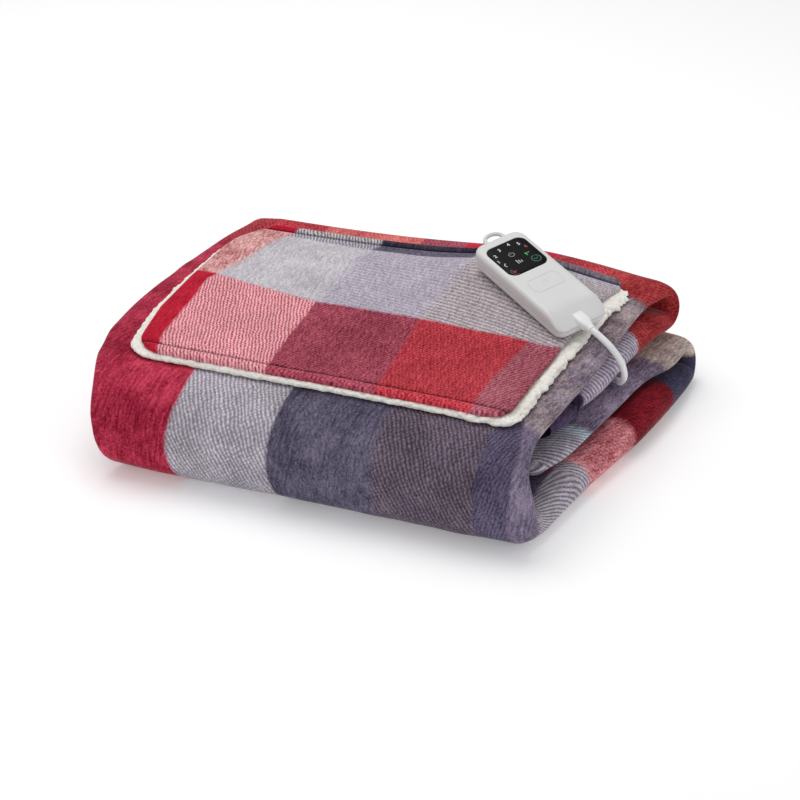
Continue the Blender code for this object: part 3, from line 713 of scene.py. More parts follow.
# ---------------------------------------------------------------- the pile lining
PILE_STEP = 0.0013  # between the points of its rim
RIM_PROUD = 0.0030
RIM_PROUD_LEFT = 0.0078
RIM_PROUD_RIGHT = 0.0125
RIM_BACK_Y = 0.1310
MIDDLE_SHARES = (0.82, 0.62, 0.42, 0.22, 0.03)
LINING_MIDDLE = np.array((-0.020, 0.0))
OUTLINE_STEPS = 400
TUFTS = (
    # noise scale, how fast it changes with height, seed, push, more push at the right
    (210.0, 2.2, 0.0, 0.0009, 0.0013),
    (520.0, 4.0, 7.0, 0.0006, 0.0),
    (90.0, 1.2, 3.0, 0.0006, 0.0022),
)
TUFTS_RIGHT_FROM_X, TUFTS_RIGHT_RUN = 0.10, 0.06
TUFTED_RIM = 0.010  # the skin is tufted this far in from the edge
TUFTS_FROM_HIGH, RIM_TOP_HIGH, TUFTS_UP_HIGH = 0.02, 0.98, 0.7  # shares of the thickness
TUFTS_OUT_ON_TOP, TUFTS_UP = 0.4, 0.8  # shares of the push
RUN_STEPS = 3  # the rim's direction is read this many points to either side
# Across the rim, from under the face round the edge to the underside: how far inside the edge, and
# height as a share of the thickness.
RIM_PROFILE = (
    # inside, height
    (0.0300, 1.00), (0.0200, 1.00), (0.0140, 1.00), (0.0105, 1.00), (0.0085, 1.03), (0.0068, 1.06),
    (0.0052, 1.06), (0.0038, 1.03), (0.0026, 0.97), (0.0015, 0.87), (0.0006, 0.73), (0.0000, 0.55),
    (0.0003, 0.36), (0.0011, 0.20), (0.0025, 0.09), (0.0050, 0.02), (0.0100, 0.00), (0.0300, 0.00),
)


def lining_outline():
    """The lining's rounded edge as seen from above: points and inward directions."""
    front = FACE_FRONT_Y - RIM_PROUD
    shares = [0.5 - 0.5 * math.cos(math.pi * i / (OUTLINE_STEPS - 1)) for i in range(OUTLINE_STEPS)]
    ys = [front + (RIM_BACK_Y - front) * share for share in shares]
    edges = [flap_edges(y, front, RIM_BACK_Y) for y in ys]
    loop = [(right + RIM_PROUD_RIGHT, y) for (_, right), y in zip(edges, ys)]
    loop += [(left - RIM_PROUD_LEFT, y) for (left, _), y in zip(reversed(edges), reversed(ys))]
    loop = np.array(loop + [loop[0]])
    steps = np.linalg.norm(np.diff(loop, axis=0), axis=1)
    lengths = np.concatenate([[0.0], np.cumsum(steps)])
    wanted = np.arange(0.0, lengths[-1], PILE_STEP)
    points = np.stack([np.interp(wanted, lengths, loop[:, i]) for i in range(2)], axis=1)
    run = np.roll(points, -RUN_STEPS, axis=0) - np.roll(points, RUN_STEPS, axis=0)
    run /= np.linalg.norm(run, axis=1)[:, None]
    return points, np.stack([-run[:, 1], run[:, 0]], axis=1)


def tufts(x, y, high):
    """How far the pile's tufts push its skin out at a point of the rim, more at the right."""
    at_right = float(smooth((x - TUFTS_RIGHT_FROM_X) / TUFTS_RIGHT_RUN))
    push = 0.0
    for scale, change, seed, size, more in TUFTS:
        at = Vector((x * scale, y * scale, high * change + seed))
        push += (size + more * at_right) * noise.noise(at)
    return push


def lining_ring(places, lifts):
    """A ring of the lining through these (x, y), lifted this far off the top ply."""
    points = np.array([over_top(top_row(y), [x], lift)[0] for (x, y), lift in zip(places, lifts)])
    return settle(pull_forward(points, np.array([y for _, y in places])))


def flat_ring(edge, share, high):
    """A ring of the lining's flat middle, at a share of the way from its middle to its edge."""
    places = LINING_MIDDLE + edge * share
    return lining_ring(places, [LINING_GAP + LINING_THICK * high * back_thinning(y) for _, y in places])


def rim_ring(points, inward, inside, high):
    """A tufted ring of the rim, this far inside its edge and at this share of its height."""
    places, lifts = [], []
    tufted = TUFTS_FROM_HIGH < high and inside < TUFTED_RIM
    for (x, y), (dx, dy) in zip(points, inward):
        push = tufts(x, y, high) if tufted else 0.0
        out = push * (1.0 if high < RIM_TOP_HIGH else TUFTS_OUT_ON_TOP)
        places.append((x + dx * (inside - out), y + dy * (inside - out)))
        thick = LINING_THICK * back_thinning(places[-1][1])
        lifts.append(LINING_GAP + thick * high + (push * TUFTS_UP if high > TUFTS_UP_HIGH else 0.0))
    return lining_ring(places, lifts)


def flap_pile():
    """The cream pile lining: a tufted rim round the printed face, and the flat pile under it."""
    points, inward = lining_outline()
    edge = points + inward * RIM_PROFILE[0][0] - LINING_MIDDLE
    rings = [flat_ring(edge, share, 1.0) for share in reversed(MIDDLE_SHARES)]
    rings += [rim_ring(points, inward, inside, high) for inside, high in RIM_PROFILE]
    rings += [flat_ring(edge, share, 0.0) for share in MIDDLE_SHARES]
    return loft("flap_pile", rings, ALL_ROUNDED)


# ---------------------------------------------------------------- controller
CORNER_TURNS = 10
SIDE_STEPS = 30
EDGE_TURNS = 8
CREASE_BOW = 0.007  # the crease lies this much nearer the foot at the sides
CREASE_SOFT = 0.07  # how softly the top face bends there, as a share of the slope's run
FOOT_CORNER = 0.75
LEAST_CORNER = 0.004
UNDERSIDE_INSET = 0.012
CASE_SHARP = 40.0  # edges of the controller under this angle look rounded
PARTING = -CASE_THICK + CASE_LOWER
# The shells' lips at the parting line: how far in, and how far up or down from the line.
UPPER_LIP = ((0.0012, 0.0002), (0.0004, 0.0002), (0.0, 0.0006))
LOWER_LIP = ((0.0, 0.0008), (0.0004, 0.0004), (0.0012, 0.0004))
UPPER_SIDE_SHARES = (0.35, 0.7, 1.0)
TOP_STEPS = 17
# The panel's recess is this much wider than the panel, above and below its bevel.
RECESS_TOP, RECESS_SIDE, RECESS_BEVEL = 0.0005, 0.0002, 0.0003
# The panel from its seat to its face: how much wider than its size, and height.
PANEL_PROFILE = (
    (-0.0002, -PANEL_DEPTH + 0.0002), (-0.0002, 0.0), (-0.0004, 0.0002), (-0.0008, 0.00035),
    (-0.006, 0.0004),
)


def controller_matrix():
    """The controller's place on the flap, with its top face in its own XY plane."""
    heading = math.radians(CONTROLLER_HEADING)
    slope = Vector((*CONTROLLER_SLOPE, 0.0))
    along = Vector((math.cos(heading), math.sin(heading), 0.0))
    along.z = along.dot(slope)
    along.normalize()
    out = Vector((-slope.x, -slope.y, 1.0)).normalized()
    turn = Matrix((along, out.cross(along), out)).transposed().to_4x4()
    return Matrix.Translation(CONTROLLER_AT) @ turn


def rounded_outline(length, width_a, width_b, corner, turns=CORNER_TURNS, side_steps=SIDE_STEPS, foot=1.0):
    """Points round a plate with rounded corners, width_a at -X and width_b at +X.

    The corners at +X have this share, foot, of the others' radius.
    """
    corners = []
    for x, y, start in (
        (length / 2, width_b / 2, 0), (-length / 2, width_a / 2, 90),
        (-length / 2, -width_a / 2, 180), (length / 2, -width_b / 2, 270),
    ):
        radius = corner * foot if x > 0 else corner
        middle_x, middle_y = x - math.copysign(radius, x), y - math.copysign(radius, y)
        corners.append(arc(middle_x, middle_y, radius, start, start + 90, turns))
    points = []
    for here, following in zip(corners, corners[1:] + corners[:1]):
        (x0, y0), (x1, y1) = here[-1], following[0]
        points += here
        for i in range(1, side_steps):
            points.append((x0 + (x1 - x0) * i / side_steps, y0 + (y1 - y0) * i / side_steps))
    return np.array(points)


def foot_drop(x, y):
    """How far the top face has sloped down, with a crease that bows towards the foot at both sides."""
    start = FOOT_SLOPE_START + CREASE_BOW * (y / (CASE_FOOT_WIDTH / 2)) ** 2
    reach = (x - start) / (CASE_LENGTH / 2 - start)
    full = math.log1p(math.exp(1.0 / CREASE_SOFT))
    return FOOT_SLOPE_DROP * np.logaddexp(0.0, reach / CREASE_SOFT) / full


def case_outline(inset, foot=FOOT_CORNER):
    """The controller's outline from above, this far in from its edge."""
    return rounded_outline(
        CASE_LENGTH - 2 * inset, CASE_HEAD_WIDTH - 2 * inset, CASE_FOOT_WIDTH - 2 * inset,
        max(CASE_CORNER - inset, LEAST_CORNER), foot=foot)


def sloped(outline, z):
    """A ring of the upper shell, lowered towards the foot in step with its height."""
    share = (z - PARTING) / -PARTING
    return np.column_stack([outline, z - foot_drop(outline[:, 0], outline[:, 1]) * share])


def level_ring(outline, z):
    """A ring at one height."""
    return np.column_stack([outline, np.full(len(outline), z)])


def panel_outline(grow):
    """The touch panel's outline, this much wider all round."""
    outline = rounded_outline(
        PANEL_LENGTH + 2 * grow, PANEL_WIDTH + 2 * grow, PANEL_WIDTH + 2 * grow, PANEL_CORNER + grow)
    outline[:, 0] += PANEL_AT_X
    return outline


def upper_shell():
    """The upper shell from its lip up the side, over the edge and in to the panel's recess."""
    rings = [sloped(case_outline(inset), PARTING + above) for inset, above in UPPER_LIP]
    for share in UPPER_SIDE_SHARES:
        rings.append(sloped(case_outline(0.0), PARTING + (-CASE_EDGE - PARTING) * share))
    for i in range(1, EDGE_TURNS + 1):
        turn = math.pi / 2 * i / EDGE_TURNS
        inset, down = CASE_EDGE * (1 - math.cos(turn)), CASE_EDGE * (1 - math.sin(turn))
        rings.append(sloped(case_outline(inset), -down))
    outer, inner = case_outline(CASE_EDGE), panel_outline(RECESS_TOP)
    for share in np.linspace(0.0, 1.0, TOP_STEPS + 1)[1:]:
        rings.append(sloped(outer + (inner - outer) * share, 0.0))
    for z in (-RECESS_BEVEL, -PANEL_DEPTH):
        rings.append(sloped(panel_outline(RECESS_SIDE), z))
    return loft("upper_shell", rings, CASE_SHARP)


def lower_shell():
    """The lower shell from its flat underside round the edge and up to its lip."""
    rings = [level_ring(case_outline(UNDERSIDE_INSET, 1.0), -CASE_THICK)]
    for i in range(EDGE_TURNS + 1):
        turn = math.pi / 2 * i / EDGE_TURNS
        inset, up = CASE_EDGE * (1 - math.sin(turn)), CASE_EDGE * (1 - math.cos(turn))
        rings.append(level_ring(case_outline(inset), -CASE_THICK + up))
    rings += [level_ring(case_outline(inset), PARTING - below) for inset, below in LOWER_LIP]
    return loft("lower_shell", rings, CASE_SHARP)


def black_panel():
    """The touch panel with its rounded edge."""
    rings = [level_ring(panel_outline(grow), z) for grow, z in PANEL_PROFILE]
    return loft("black_panel", rings, CASE_SHARP)


def smooth_line(points, steps):
    """A dense smooth curve through the points."""
    points = [Vector(p) for p in points]
    dense = []
    for i in range(len(points) - 1):
        before, a, b = points[max(i - 1, 0)], points[i], points[i + 1]
        after = points[min(i + 2, len(points) - 1)]
        for j in range(steps):
            t = j / steps
            dense.append(0.5 * (
                2 * a + (b - before) * t + (2 * before - 5 * a + 4 * b - after) * t**2
                + (3 * a - before - 3 * b + after) * t**3))
    return dense + [points[-1]]


ROD_SHARP = 60.0


def rod(name, points, radii, sides=16, closed=False, flat=1.0):
    """A round bar with a radius for each of its points; flat squeezes it upright."""
    points = [Vector(p) for p in points]
    count = len(points)
    turns = [2 * math.pi * k / sides for k in range(sides)]
    rings = []
    up = Vector((0.0, 0.0, 1.0))
    for i in range(count):
        ahead = points[(i + 1) % count] if closed else points[min(i + 1, count - 1)]
        behind = points[i - 1] if closed else points[max(i - 1, 0)]
        run = (ahead - behind).normalized()
        side = run.cross(up).normalized()
        wide, high = side * radii[i], side.cross(run) * (radii[i] * flat)
        rings.append([points[i] + wide * math.cos(a) + high * math.sin(a) for a in turns])
    flat_points = [tuple(p) for ring in rings for p in ring]
    faces = loft_faces(count, sides, capped=not closed)
    if closed:
        last = (count - 1) * sides
        faces += [(last + j, last + (j + 1) % sides, (j + 1) % sides, j) for j in range(sides)]
    return mesh_object(name, flat_points, faces, ROD_SHARP)


LOOP_TURNS = 12
LOOP_START_IN = 0.001  # the loop starts this far inside the head
LOOP_ROOT = 0.30  # its reach where it leaves the head, as a share of the full reach
LOOP_SQUARE = 0.35  # and beside the head
LOOP_THIN, LOOP_THICKER = 0.94, 0.30  # its thickness in the middle, and how much more at its roots
LOOP_ROOT_FROM = 0.75
LOOP_SMOOTH = 5
LOOP_SIDES = 18


def head_loop():
    """The bail at the controller's head, thicker where it grows from the head."""
    start = -CASE_LENGTH / 2 + LOOP_START_IN
    height = PARTING + LOOP_BAR
    wide = LOOP_WIDTH / 2
    route = [(start, LOOP_SIDE - wide, height)]
    for i in range(LOOP_TURNS + 1):
        turn = math.pi * i / LOOP_TURNS
        reach = LOOP_ROOT
        if 0 < i < LOOP_TURNS:
            reach = LOOP_SQUARE + (1.0 - LOOP_SQUARE) * math.sin(turn)
        route.append((-CASE_LENGTH / 2 - LOOP_REACH * reach, LOOP_SIDE - wide * math.cos(turn), height))
    route.append((start, LOOP_SIDE + wide, height))
    points = smooth_line(route, LOOP_SMOOTH)
    from_middle = np.abs(np.linspace(-1.0, 1.0, len(points)))
    growth = smooth((from_middle - LOOP_ROOT_FROM) / (1.0 - LOOP_ROOT_FROM))
    radii = LOOP_BAR / 2 * (LOOP_THIN + LOOP_THICKER * growth)
    return rod("head_loop", points, list(radii), LOOP_SIDES)


SLEEVE_BASE = (0.0118, 0.0092)
SLEEVE_RINGS = 34
TAPER_FROM, TAPER_RUN = 0.52, 0.40  # shares of the sleeve's length
RIDGE_HEIGHT, RIDGE_AT, RIDGE_REACH = 0.0003, 0.50, 0.05
BLOCK_CORNER, TIP_CORNER = 0.22, 0.46  # shares of the sleeve's width


def strain_relief():
    """The sleeve at the foot: a square block, then a taper to the cord."""
    rings = []
    for share in np.linspace(0.0, 1.0, SLEEVE_RINGS):
        taper = smooth((share - TAPER_FROM) / TAPER_RUN)
        ridge = RIDGE_HEIGHT * bump(share, RIDGE_AT, RIDGE_REACH)
        wide, high = (b + taper * (t - b) + 2 * ridge for b, t in zip(SLEEVE_BASE, GLAND_TIP))
        corner = min(wide, high) * (BLOCK_CORNER + (TIP_CORNER - BLOCK_CORNER) * taper)
        x = GLAND_AT[0] + share * GLAND_LENGTH
        outline = rounded_outline(wide, high, high, corner, 5, 3)
        rings.append([(x, GLAND_AT[1] + y, GLAND_AT[2] + z) for y, z in outline])
    return loft("strain_relief", rings, CASE_SHARP)


MARK_Z = 0.00042  # the panel's marks lie on its face
MARK_RADIUS, MARK_FLAT, MARK_SIDES = 0.00042, 0.22, 6
NUMBER_SIZE, NUMBER_THICK = 0.0056, 0.00003
NUMBER_BOLD = 0.02  # how much the numbers' strokes are thickened, as a share of their size


def mark_line(name, points):
    """A flat raised line on the panel, in the panel's own x and y."""
    at = [(PANEL_AT_X + x, y, MARK_Z) for x, y in points]
    return rod(name, at, [MARK_RADIUS] * len(at), MARK_SIDES, flat=MARK_FLAT)


def number_mark(name, text, x, y):
    """A plain number lying on the panel, its top towards the head."""
    curve = bpy.data.curves.new(name, "FONT")
    curve.body = text
    curve.size = NUMBER_SIZE
    curve.extrude = NUMBER_THICK
    curve.offset = NUMBER_SIZE * NUMBER_BOLD
    curve.align_x = "CENTER"
    curve.align_y = "CENTER"
    made = bpy.data.objects.new(name, curve)
    bpy.context.scene.collection.objects.link(made)
    mesh = bpy.data.meshes.new_from_object(made)
    bpy.data.objects.remove(made)
    turn = Matrix.Translation((PANEL_AT_X + x, y, MARK_Z)) @ Matrix.Rotation(math.radians(90.0), 4, "Z")
    mesh.transform(turn)
    solid = bpy.data.objects.new(name, mesh)
    bpy.context.scene.collection.objects.link(solid)
    return solid


NUMBERS = (
    # text, x, y, colour
    ("1", -0.0018, -0.0188, "white"), ("2", -0.0099, -0.0166, "white"), ("3", -0.0151, -0.0084, "white"),
    ("4", -0.0172, 0.0032, "white"), ("5", -0.0133, 0.0118, "white"), ("6", -0.0068, 0.0152, "red"),
)
LINES = (
    # name, points, colour
    ("power_stroke", ((-0.0076, -0.0028), (-0.0046, -0.0028)), "dim"),
    ("timer_long", ((0.0044, -0.0046), (0.0100, -0.0046)), "white"),
    ("timer_middle", ((0.0056, -0.0024), (0.0098, -0.0024)), "white"),
    ("timer_short", ((0.0068, -0.0002), (0.0096, -0.0002)), "white"),
    ("less", ((0.0076, -0.0162), (0.0050, -0.0176), (0.0030, -0.0152)), "white"),
    ("red_stroke", ((0.0150, -0.0160), (0.0192, -0.0146)), "red"),
    ("red_cross", ((0.0176, -0.0172), (0.0166, -0.0126)), "red"),
    ("green_stroke", ((0.0002, 0.0090), (0.0048, 0.0090)), "green"),
    ("green_cross", ((0.0020, 0.0074), (0.0012, 0.0132)), "green"),
    ("teal_wave", ((0.0112, 0.0106), (0.0134, 0.0126), (0.0118, 0.0148)), "teal"),
)
RINGS = (
    # name, x, y, radius, start, end, colour
    ("power_ring", -0.0041, -0.0028, 0.0027, 35, 325, "dim"),
    ("teal_ring", 0.0124, 0.0128, 0.0044, 0, 345, "teal"),
    ("red_ring", 0.0174, -0.0142, 0.0042, 20, 200, "brown"),
)


def panel_marks():
    """The panel's lit numbers and signs, each with its colour."""
    marks = []
    for text, x, y, colour in NUMBERS:
        marks.append((number_mark("number_" + text, text, x, y), colour))
    for name, points, colour in LINES:
        marks.append((mark_line(name, points), colour))
    for name, x, y, radius, start, end, colour in RINGS:
        marks.append((mark_line(name, arc(x, y, radius, 180 + start, 180 + end)), colour))
    return marks


def on_case_top(points, above):
    """Points on the case's top face, which slopes down towards its foot."""
    return [(x, y, above - float(foot_drop(x, y))) for x, y in points]


KEY_AT_X = 0.0105
KEY_LENGTH, KEY_WIDTH, KEY_CORNER = 0.0185, 0.032, 0.0050
KEY_SIGN_Y, KEY_SIGN_RADIUS = -0.001, 0.0032
KEY_STROKE = (-0.0045, -0.0010)  # the stroke's ends, from the key's middle
KEY_NAMES = ("key_line", "key_sign", "key_stroke")
KEY_LINES = (
    # height above the case, radius of the line, how flat it is
    (0.00005, 0.00050, 0.5),
    (0.00001, 0.00028, 0.4),
    (0.00001, 0.00028, 0.4),
)
KEY_SIDES = 8


def key_outline():
    """The faint rounded line pressed round the key under the panel, and its sign."""
    outline = rounded_outline(KEY_LENGTH, KEY_WIDTH, KEY_WIDTH, KEY_CORNER, 6, 8)
    outline[:, 0] += KEY_AT_X
    sign = arc(KEY_AT_X, KEY_SIGN_Y, KEY_SIGN_RADIUS, 30, 330, 24)
    stroke = [(KEY_AT_X + x, KEY_SIGN_Y) for x in KEY_STROKE]
    made = []
    for name, points, (above, radius, flat) in zip(KEY_NAMES, (outline, sign, stroke), KEY_LINES):
        route = on_case_top(points, above)
        made.append(rod(name, route, [radius] * len(route), KEY_SIDES, name == "key_line", flat))
    return made


# ---------------------------------------------------------------- cord
CORD_ROUNDNESS = 6
CORD_SMOOTH = 3


def lead_cord():
    """The cord from the strain relief down into the fold."""
    curve = bpy.data.curves.new("lead_cord", "CURVE")
    curve.dimensions = "3D"
    curve.bevel_depth = CORD_DIAMETER / 2
    curve.bevel_resolution = CORD_ROUNDNESS
    curve.use_fill_caps = True
    points = smooth_line(CORD_ROUTE, CORD_SMOOTH)
    line = curve.splines.new("POLY")
    line.points.add(len(points) - 1)
    for point, at in zip(line.points, points):
        point.co = (*at, 1.0)
    line.use_smooth = True
    made = bpy.data.objects.new("lead_cord", curve)
    bpy.context.scene.collection.objects.link(made)
    length = sum((b - a).length for a, b in zip(points, points[1:]))
    return made, length


# ---------------------------------------------------------------- finishes
def srgb(red, green, blue):
    """A linear colour from the three numbers that a paint chart gives, 0 to 255."""
    colour = []
    for part in (red / 255.0, green / 255.0, blue / 255.0):
        colour.append(part / 12.92 if part <= 0.04045 else ((part + 0.055) / 1.055) ** 2.4)
    return (*colour, 1.0)


WHITE, BLACK = (1.0, 1.0, 1.0, 1.0), (0.0, 0.0, 0.0, 1.0)


class Number:
    """A number that varies over a surface; arithmetic on it adds Math nodes."""

    def __init__(self, finish, socket):
        self.finish = finish
        self.socket = socket

    def math(self, operation, *values):
        made = self.finish.node("ShaderNodeMath", {"operation": operation}, dict(enumerate(values)))
        return Number(self.finish, made.outputs[0])

    def __add__(self, other):
        return self.math("ADD", self, other)

    __radd__ = __add__

    def __sub__(self, other):
        return self.math("SUBTRACT", self, other)

    def __rsub__(self, other):
        return self.math("SUBTRACT", other, self)

    def __mul__(self, other):
        return self.math("MULTIPLY", self, other)

    __rmul__ = __mul__

    def absolute(self):
        return self.math("ABSOLUTE", self)

    def __truediv__(self, other):
        return self.math("DIVIDE", self, other)

    def waves(self, pitch):
        """Soft ribs from 0 to 1, one for every pitch that the number grows by."""
        turned = self * (2.0 * math.pi / pitch)
        return turned.math("SINE", turned) * 0.5 + 0.5


def set_stops(ramp, stops):
    """Gives a colour ramp these stops, each a place and a colour."""
    while len(ramp.elements) > 1:
        ramp.elements.remove(ramp.elements[-1])
    ramp.elements[0].position = stops[0][0]
    ramp.elements[0].color = stops[0][1]
    for at, colour in stops[1:]:
        ramp.elements.new(at).color = colour


class Finish:
    """One material and the nodes that make it."""

    def __init__(self, name, roughness=0.5, **constants):
        self.material = bpy.data.materials.new(name)
        self.material.use_nodes = True
        self.tree = self.material.node_tree
        self.shader = self.tree.nodes["Principled BSDF"]
        self.shader.inputs["Roughness"].default_value = roughness
        for socket, value in constants.items():
            self.shader.inputs[socket.replace("_", " ")].default_value = value

    def node(self, kind, settings=None, sockets=None):
        """A new node with these settings and these values or links on its sockets."""
        made = self.tree.nodes.new(kind)
        for name, value in (settings or {}).items():
            if name == "stops":
                set_stops(made.color_ramp, value)
            else:
                setattr(made, name, value)
        for name, value in (sockets or {}).items():
            self.feed(made.inputs[name], value)
        return made

    def feed(self, socket, value):
        if isinstance(value, Number):
            value = value.socket
        if isinstance(value, bpy.types.NodeSocket):
            self.tree.links.new(value, socket)
        else:
            socket.default_value = value

    def surface(self, **inputs):
        """Feeds the shader's own sockets, named with _ for a space."""
        for name, value in inputs.items():
            self.feed(self.shader.inputs[name.replace("_", " ")], value)

    def place(self):
        """Where a point is on the object, in metres."""
        return self.node("ShaderNodeTexCoord").outputs["Object"]

    def split(self, vector):
        """The three numbers of a vector."""
        made = self.node("ShaderNodeSeparateXYZ", sockets={0: vector})
        return [Number(self, socket) for socket in made.outputs]

    def pair(self, uv_name):
        """The two numbers of a UV map."""
        return self.split(self.node("ShaderNodeUVMap", {"uv_map": uv_name}).outputs["UV"])[:2]

    def vector(self, x, y):
        return self.node("ShaderNodeCombineXYZ", sockets={0: x, 1: y}).outputs[0]

    def cloud(self, at, scale, detail=2.0, roughness=0.5):
        """Noise from 0 to 1 at a vector."""
        made = self.node("ShaderNodeTexNoise", sockets={
            "Vector": at, "Scale": scale, "Detail": detail, "Roughness": roughness})
        return Number(self, made.outputs["Fac"])

    def ramp(self, value, stops):
        made = self.node("ShaderNodeValToRGB", {"stops": stops}, {"Fac": value})
        return made.outputs["Color"]

    def level(self, value, low, high):
        """0 below low, 1 above high, straight between."""
        made = self.node("ShaderNodeMapRange", {"clamp": True}, {0: value, 1: low, 2: high, 3: 0.0, 4: 1.0})
        return Number(self, made.outputs[0])

    def mix(self, share, first, second):
        """A colour between two colours."""
        made = self.node("ShaderNodeMix", {"data_type": "RGBA"}, {0: share, 6: first, 7: second})
        return made.outputs[2]

    def scaled(self, colour, value):
        """A colour made lighter or darker by a number."""
        made = self.node("ShaderNodeVectorMath", {"operation": "SCALE"}, {0: colour, "Scale": value})
        return made.outputs[0]

    def relief(self, height, distance, strength):
        """Raises the surface by a height from 0 to 1, times this distance."""
        made = self.node("ShaderNodeBump", sockets={
            "Strength": strength, "Distance": distance, "Height": height})
        self.surface(Normal=made.outputs[0])


def cell_stops(cells, soft):
    """Ramp stops for cells of equal width with soft borders."""
    count = len(cells)
    stops = []
    for i, colour in enumerate(cells):
        start = i / count if i == 0 else (i + soft) / count
        end = 1.0 if i == count - 1 else (i + 1 - soft) / count
        stops += [(start, colour), (end, colour)]
    return stops


def cell(ground, thread, rib=0.0, twill=0.0, cross=0.0):
    """A cell of the print: its two colours, and how much it shows ribs, twill and ribs across."""
    return srgb(*ground), srgb(*thread), (rib, twill, cross, 1.0)


BRIGHT_RED = cell((150, 18, 38), (208, 84, 92), rib=0.25, twill=0.3)
PLAIN_RED = cell((174, 12, 42), (192, 36, 58))
CRIMSON = cell((144, 14, 46), (190, 62, 86))
DARK_RED = cell((118, 28, 50), (186, 94, 110), rib=0.1, twill=0.35)
PINK_RIB = cell((186, 60, 78), (236, 182, 188), rib=1.0, twill=0.15)
SALMON = cell((196, 74, 76), (226, 138, 130), rib=0.2, twill=0.3)
MOTTLED_PINK = cell((184, 92, 96), (230, 196, 192), twill=0.1)
MAUVE = cell((140, 46, 64), (182, 118, 130), twill=0.5)
LIGHT_GREY = cell((146, 140, 152), (206, 200, 208), twill=1.0)
PALE_GREY = cell((184, 178, 185), (204, 198, 205), twill=0.35)
LILAC_GREY = cell((160, 152, 168), (200, 190, 202), twill=0.35, cross=0.35)
WARM_GREY = cell((144, 132, 140), (204, 194, 196), twill=0.25, cross=0.6)
SLATE = cell((70, 64, 86), (112, 106, 124), twill=0.15)
TAUPE = cell((76, 64, 80), (124, 112, 124), twill=0.75)
SLATE_BLUE = cell((65, 57, 81), (107, 99, 121), rib=0.45, twill=0.1)
RIBBED_GREY = cell((110, 104, 124), (196, 190, 198), rib=1.0)
NAVY = cell((50, 46, 72), (78, 72, 98), rib=0.2, twill=0.2)
# dark purple painted as shade on the cloth inside the folds and on the second ply's front end
FOLD_SHADE_PURPLE = cell((52, 40, 66), (84, 70, 98))
CROSS_LILAC = cell((126, 114, 136), (196, 186, 200), cross=0.8)
CROSS_GREY = cell((126, 116, 134), (190, 184, 190), cross=0.9)
CROSS_PALE = cell((122, 112, 132), (196, 192, 200), cross=0.9)
# dark red ribbed print of the bottom ply's folded side, made darker still as painted shade under the third
# ply
CROSS_RED_IN_SHADE = cell((88, 6, 20), (140, 28, 42), cross=0.35)
BACK_RED = cell((140, 26, 36), (186, 74, 74), cross=0.25)
# a narrow light blue painted highlight on the ribbed end of the third ply's folded side
ICE_HIGHLIGHT_RIB = cell((140, 148, 168), (206, 222, 230), cross=0.9)
TAUPE_PLUSH = cell((114, 98, 110), (174, 158, 156))
# lighter copy of TAUPE_PLUSH: painted light on the third ply's folded side
TAUPE_PAINTED_LIT = cell((156, 138, 136), (212, 198, 186))
SLATE_PLUSH = cell((84, 74, 98), (128, 116, 136))
# lighter copy of SLATE_PLUSH: painted light on the third ply's folded side
SLATE_PAINTED_LIT = cell((105, 90, 113), (158, 143, 163))
LILAC_FROST = cell((96, 86, 112), (150, 138, 160))
# slate print of the rolled back hem, darkened almost to black with the painted shadow of the slit
HEM_SLATE_AND_SHADOW = cell((40, 35, 50), (72, 66, 84))
HEM_TAUPE = cell((100, 94, 106), (138, 130, 142))
HEM_RIB = cell((112, 106, 116), (208, 202, 203), rib=1.0)
MAUVE_PLUSH = cell((166, 60, 78), (226, 160, 162), cross=0.1)

THROW_RED_ROW = (BRIGHT_RED, SALMON, DARK_RED, PLAIN_RED, BRIGHT_RED, BRIGHT_RED)
THROW_GREY_ROW = (CRIMSON, LIGHT_GREY, SLATE, TAUPE, SLATE_BLUE, TAUPE_PLUSH)
# The folded side, from the strip's start in the second ply to its end in the third.
NOSE_ROWS = (
    # ends at, cell
    (0.105, CROSS_LILAC), (0.255, BACK_RED), (0.505, TAUPE_PLUSH), (0.622, SLATE_PLUSH),
    (0.716, CROSS_GREY), (0.796, MAUVE_PLUSH), (0.881, CROSS_RED_IN_SHADE), (0.965, NAVY),
    (1.034, TAUPE_PAINTED_LIT), (1.168, SLATE_PAINTED_LIT), (1.183, ICE_HIGHLIGHT_RIB), (1.250, CROSS_PALE),
)
FACE_PRINT = (
    (PLAIN_RED, PINK_RIB, DARK_RED, BRIGHT_RED, MAUVE),
    (MOTTLED_PINK, PALE_GREY, LILAC_GREY, WARM_GREY, WARM_GREY),
    (MOTTLED_PINK, RIBBED_GREY, SLATE, LILAC_GREY, LILAC_GREY),
    (PLAIN_RED, HEM_RIB, HEM_SLATE_AND_SHADOW, HEM_TAUPE, HEM_TAUPE),
)


CELL_SOFT = 0.012  # the border of two cells, as a share of a cell
NOSE_BORDER = 0.0025  # half of a border's width down the folded side
BORDER_SCALE, BORDER_RAGGED = 140.0, 0.03
FACE_SOFTS = (0.012, 0.055, 0.030, 0.012)  # the same for each row of the flap's print
SEAM_SHADE, HEM_LIGHT = 0.62, 0.32  # how much painted shade darkens the stitched groove and the slit, and how much lighter the front hem is
SLIT_SHADE_IN = 0.0004


def cell_colours(finish, column, cells, soft=CELL_SOFT):
    """Ground, thread and pattern of a row of the print."""
    share = column / len(cells)
    return [finish.ramp(share, cell_stops([colours[i] for colours in cells], soft)) for i in range(3)]


def nose_colours(finish, along):
    """Ground, thread and pattern down the folded side."""
    made = []
    for part in range(3):
        stops, start = [], 0.0
        for end, colours in NOSE_ROWS:
            for at in (start + NOSE_BORDER, end - NOSE_BORDER):
                stops.append((at / THROW_LENGTH, colours[part]))
            start = end
        made.append(finish.ramp(along / THROW_LENGTH, stops))
    return made


def mixed(finish, share, first, second):
    """Ground, thread and pattern between those of two cells."""
    return [finish.mix(share, a, b) for a, b in zip(first, second)]


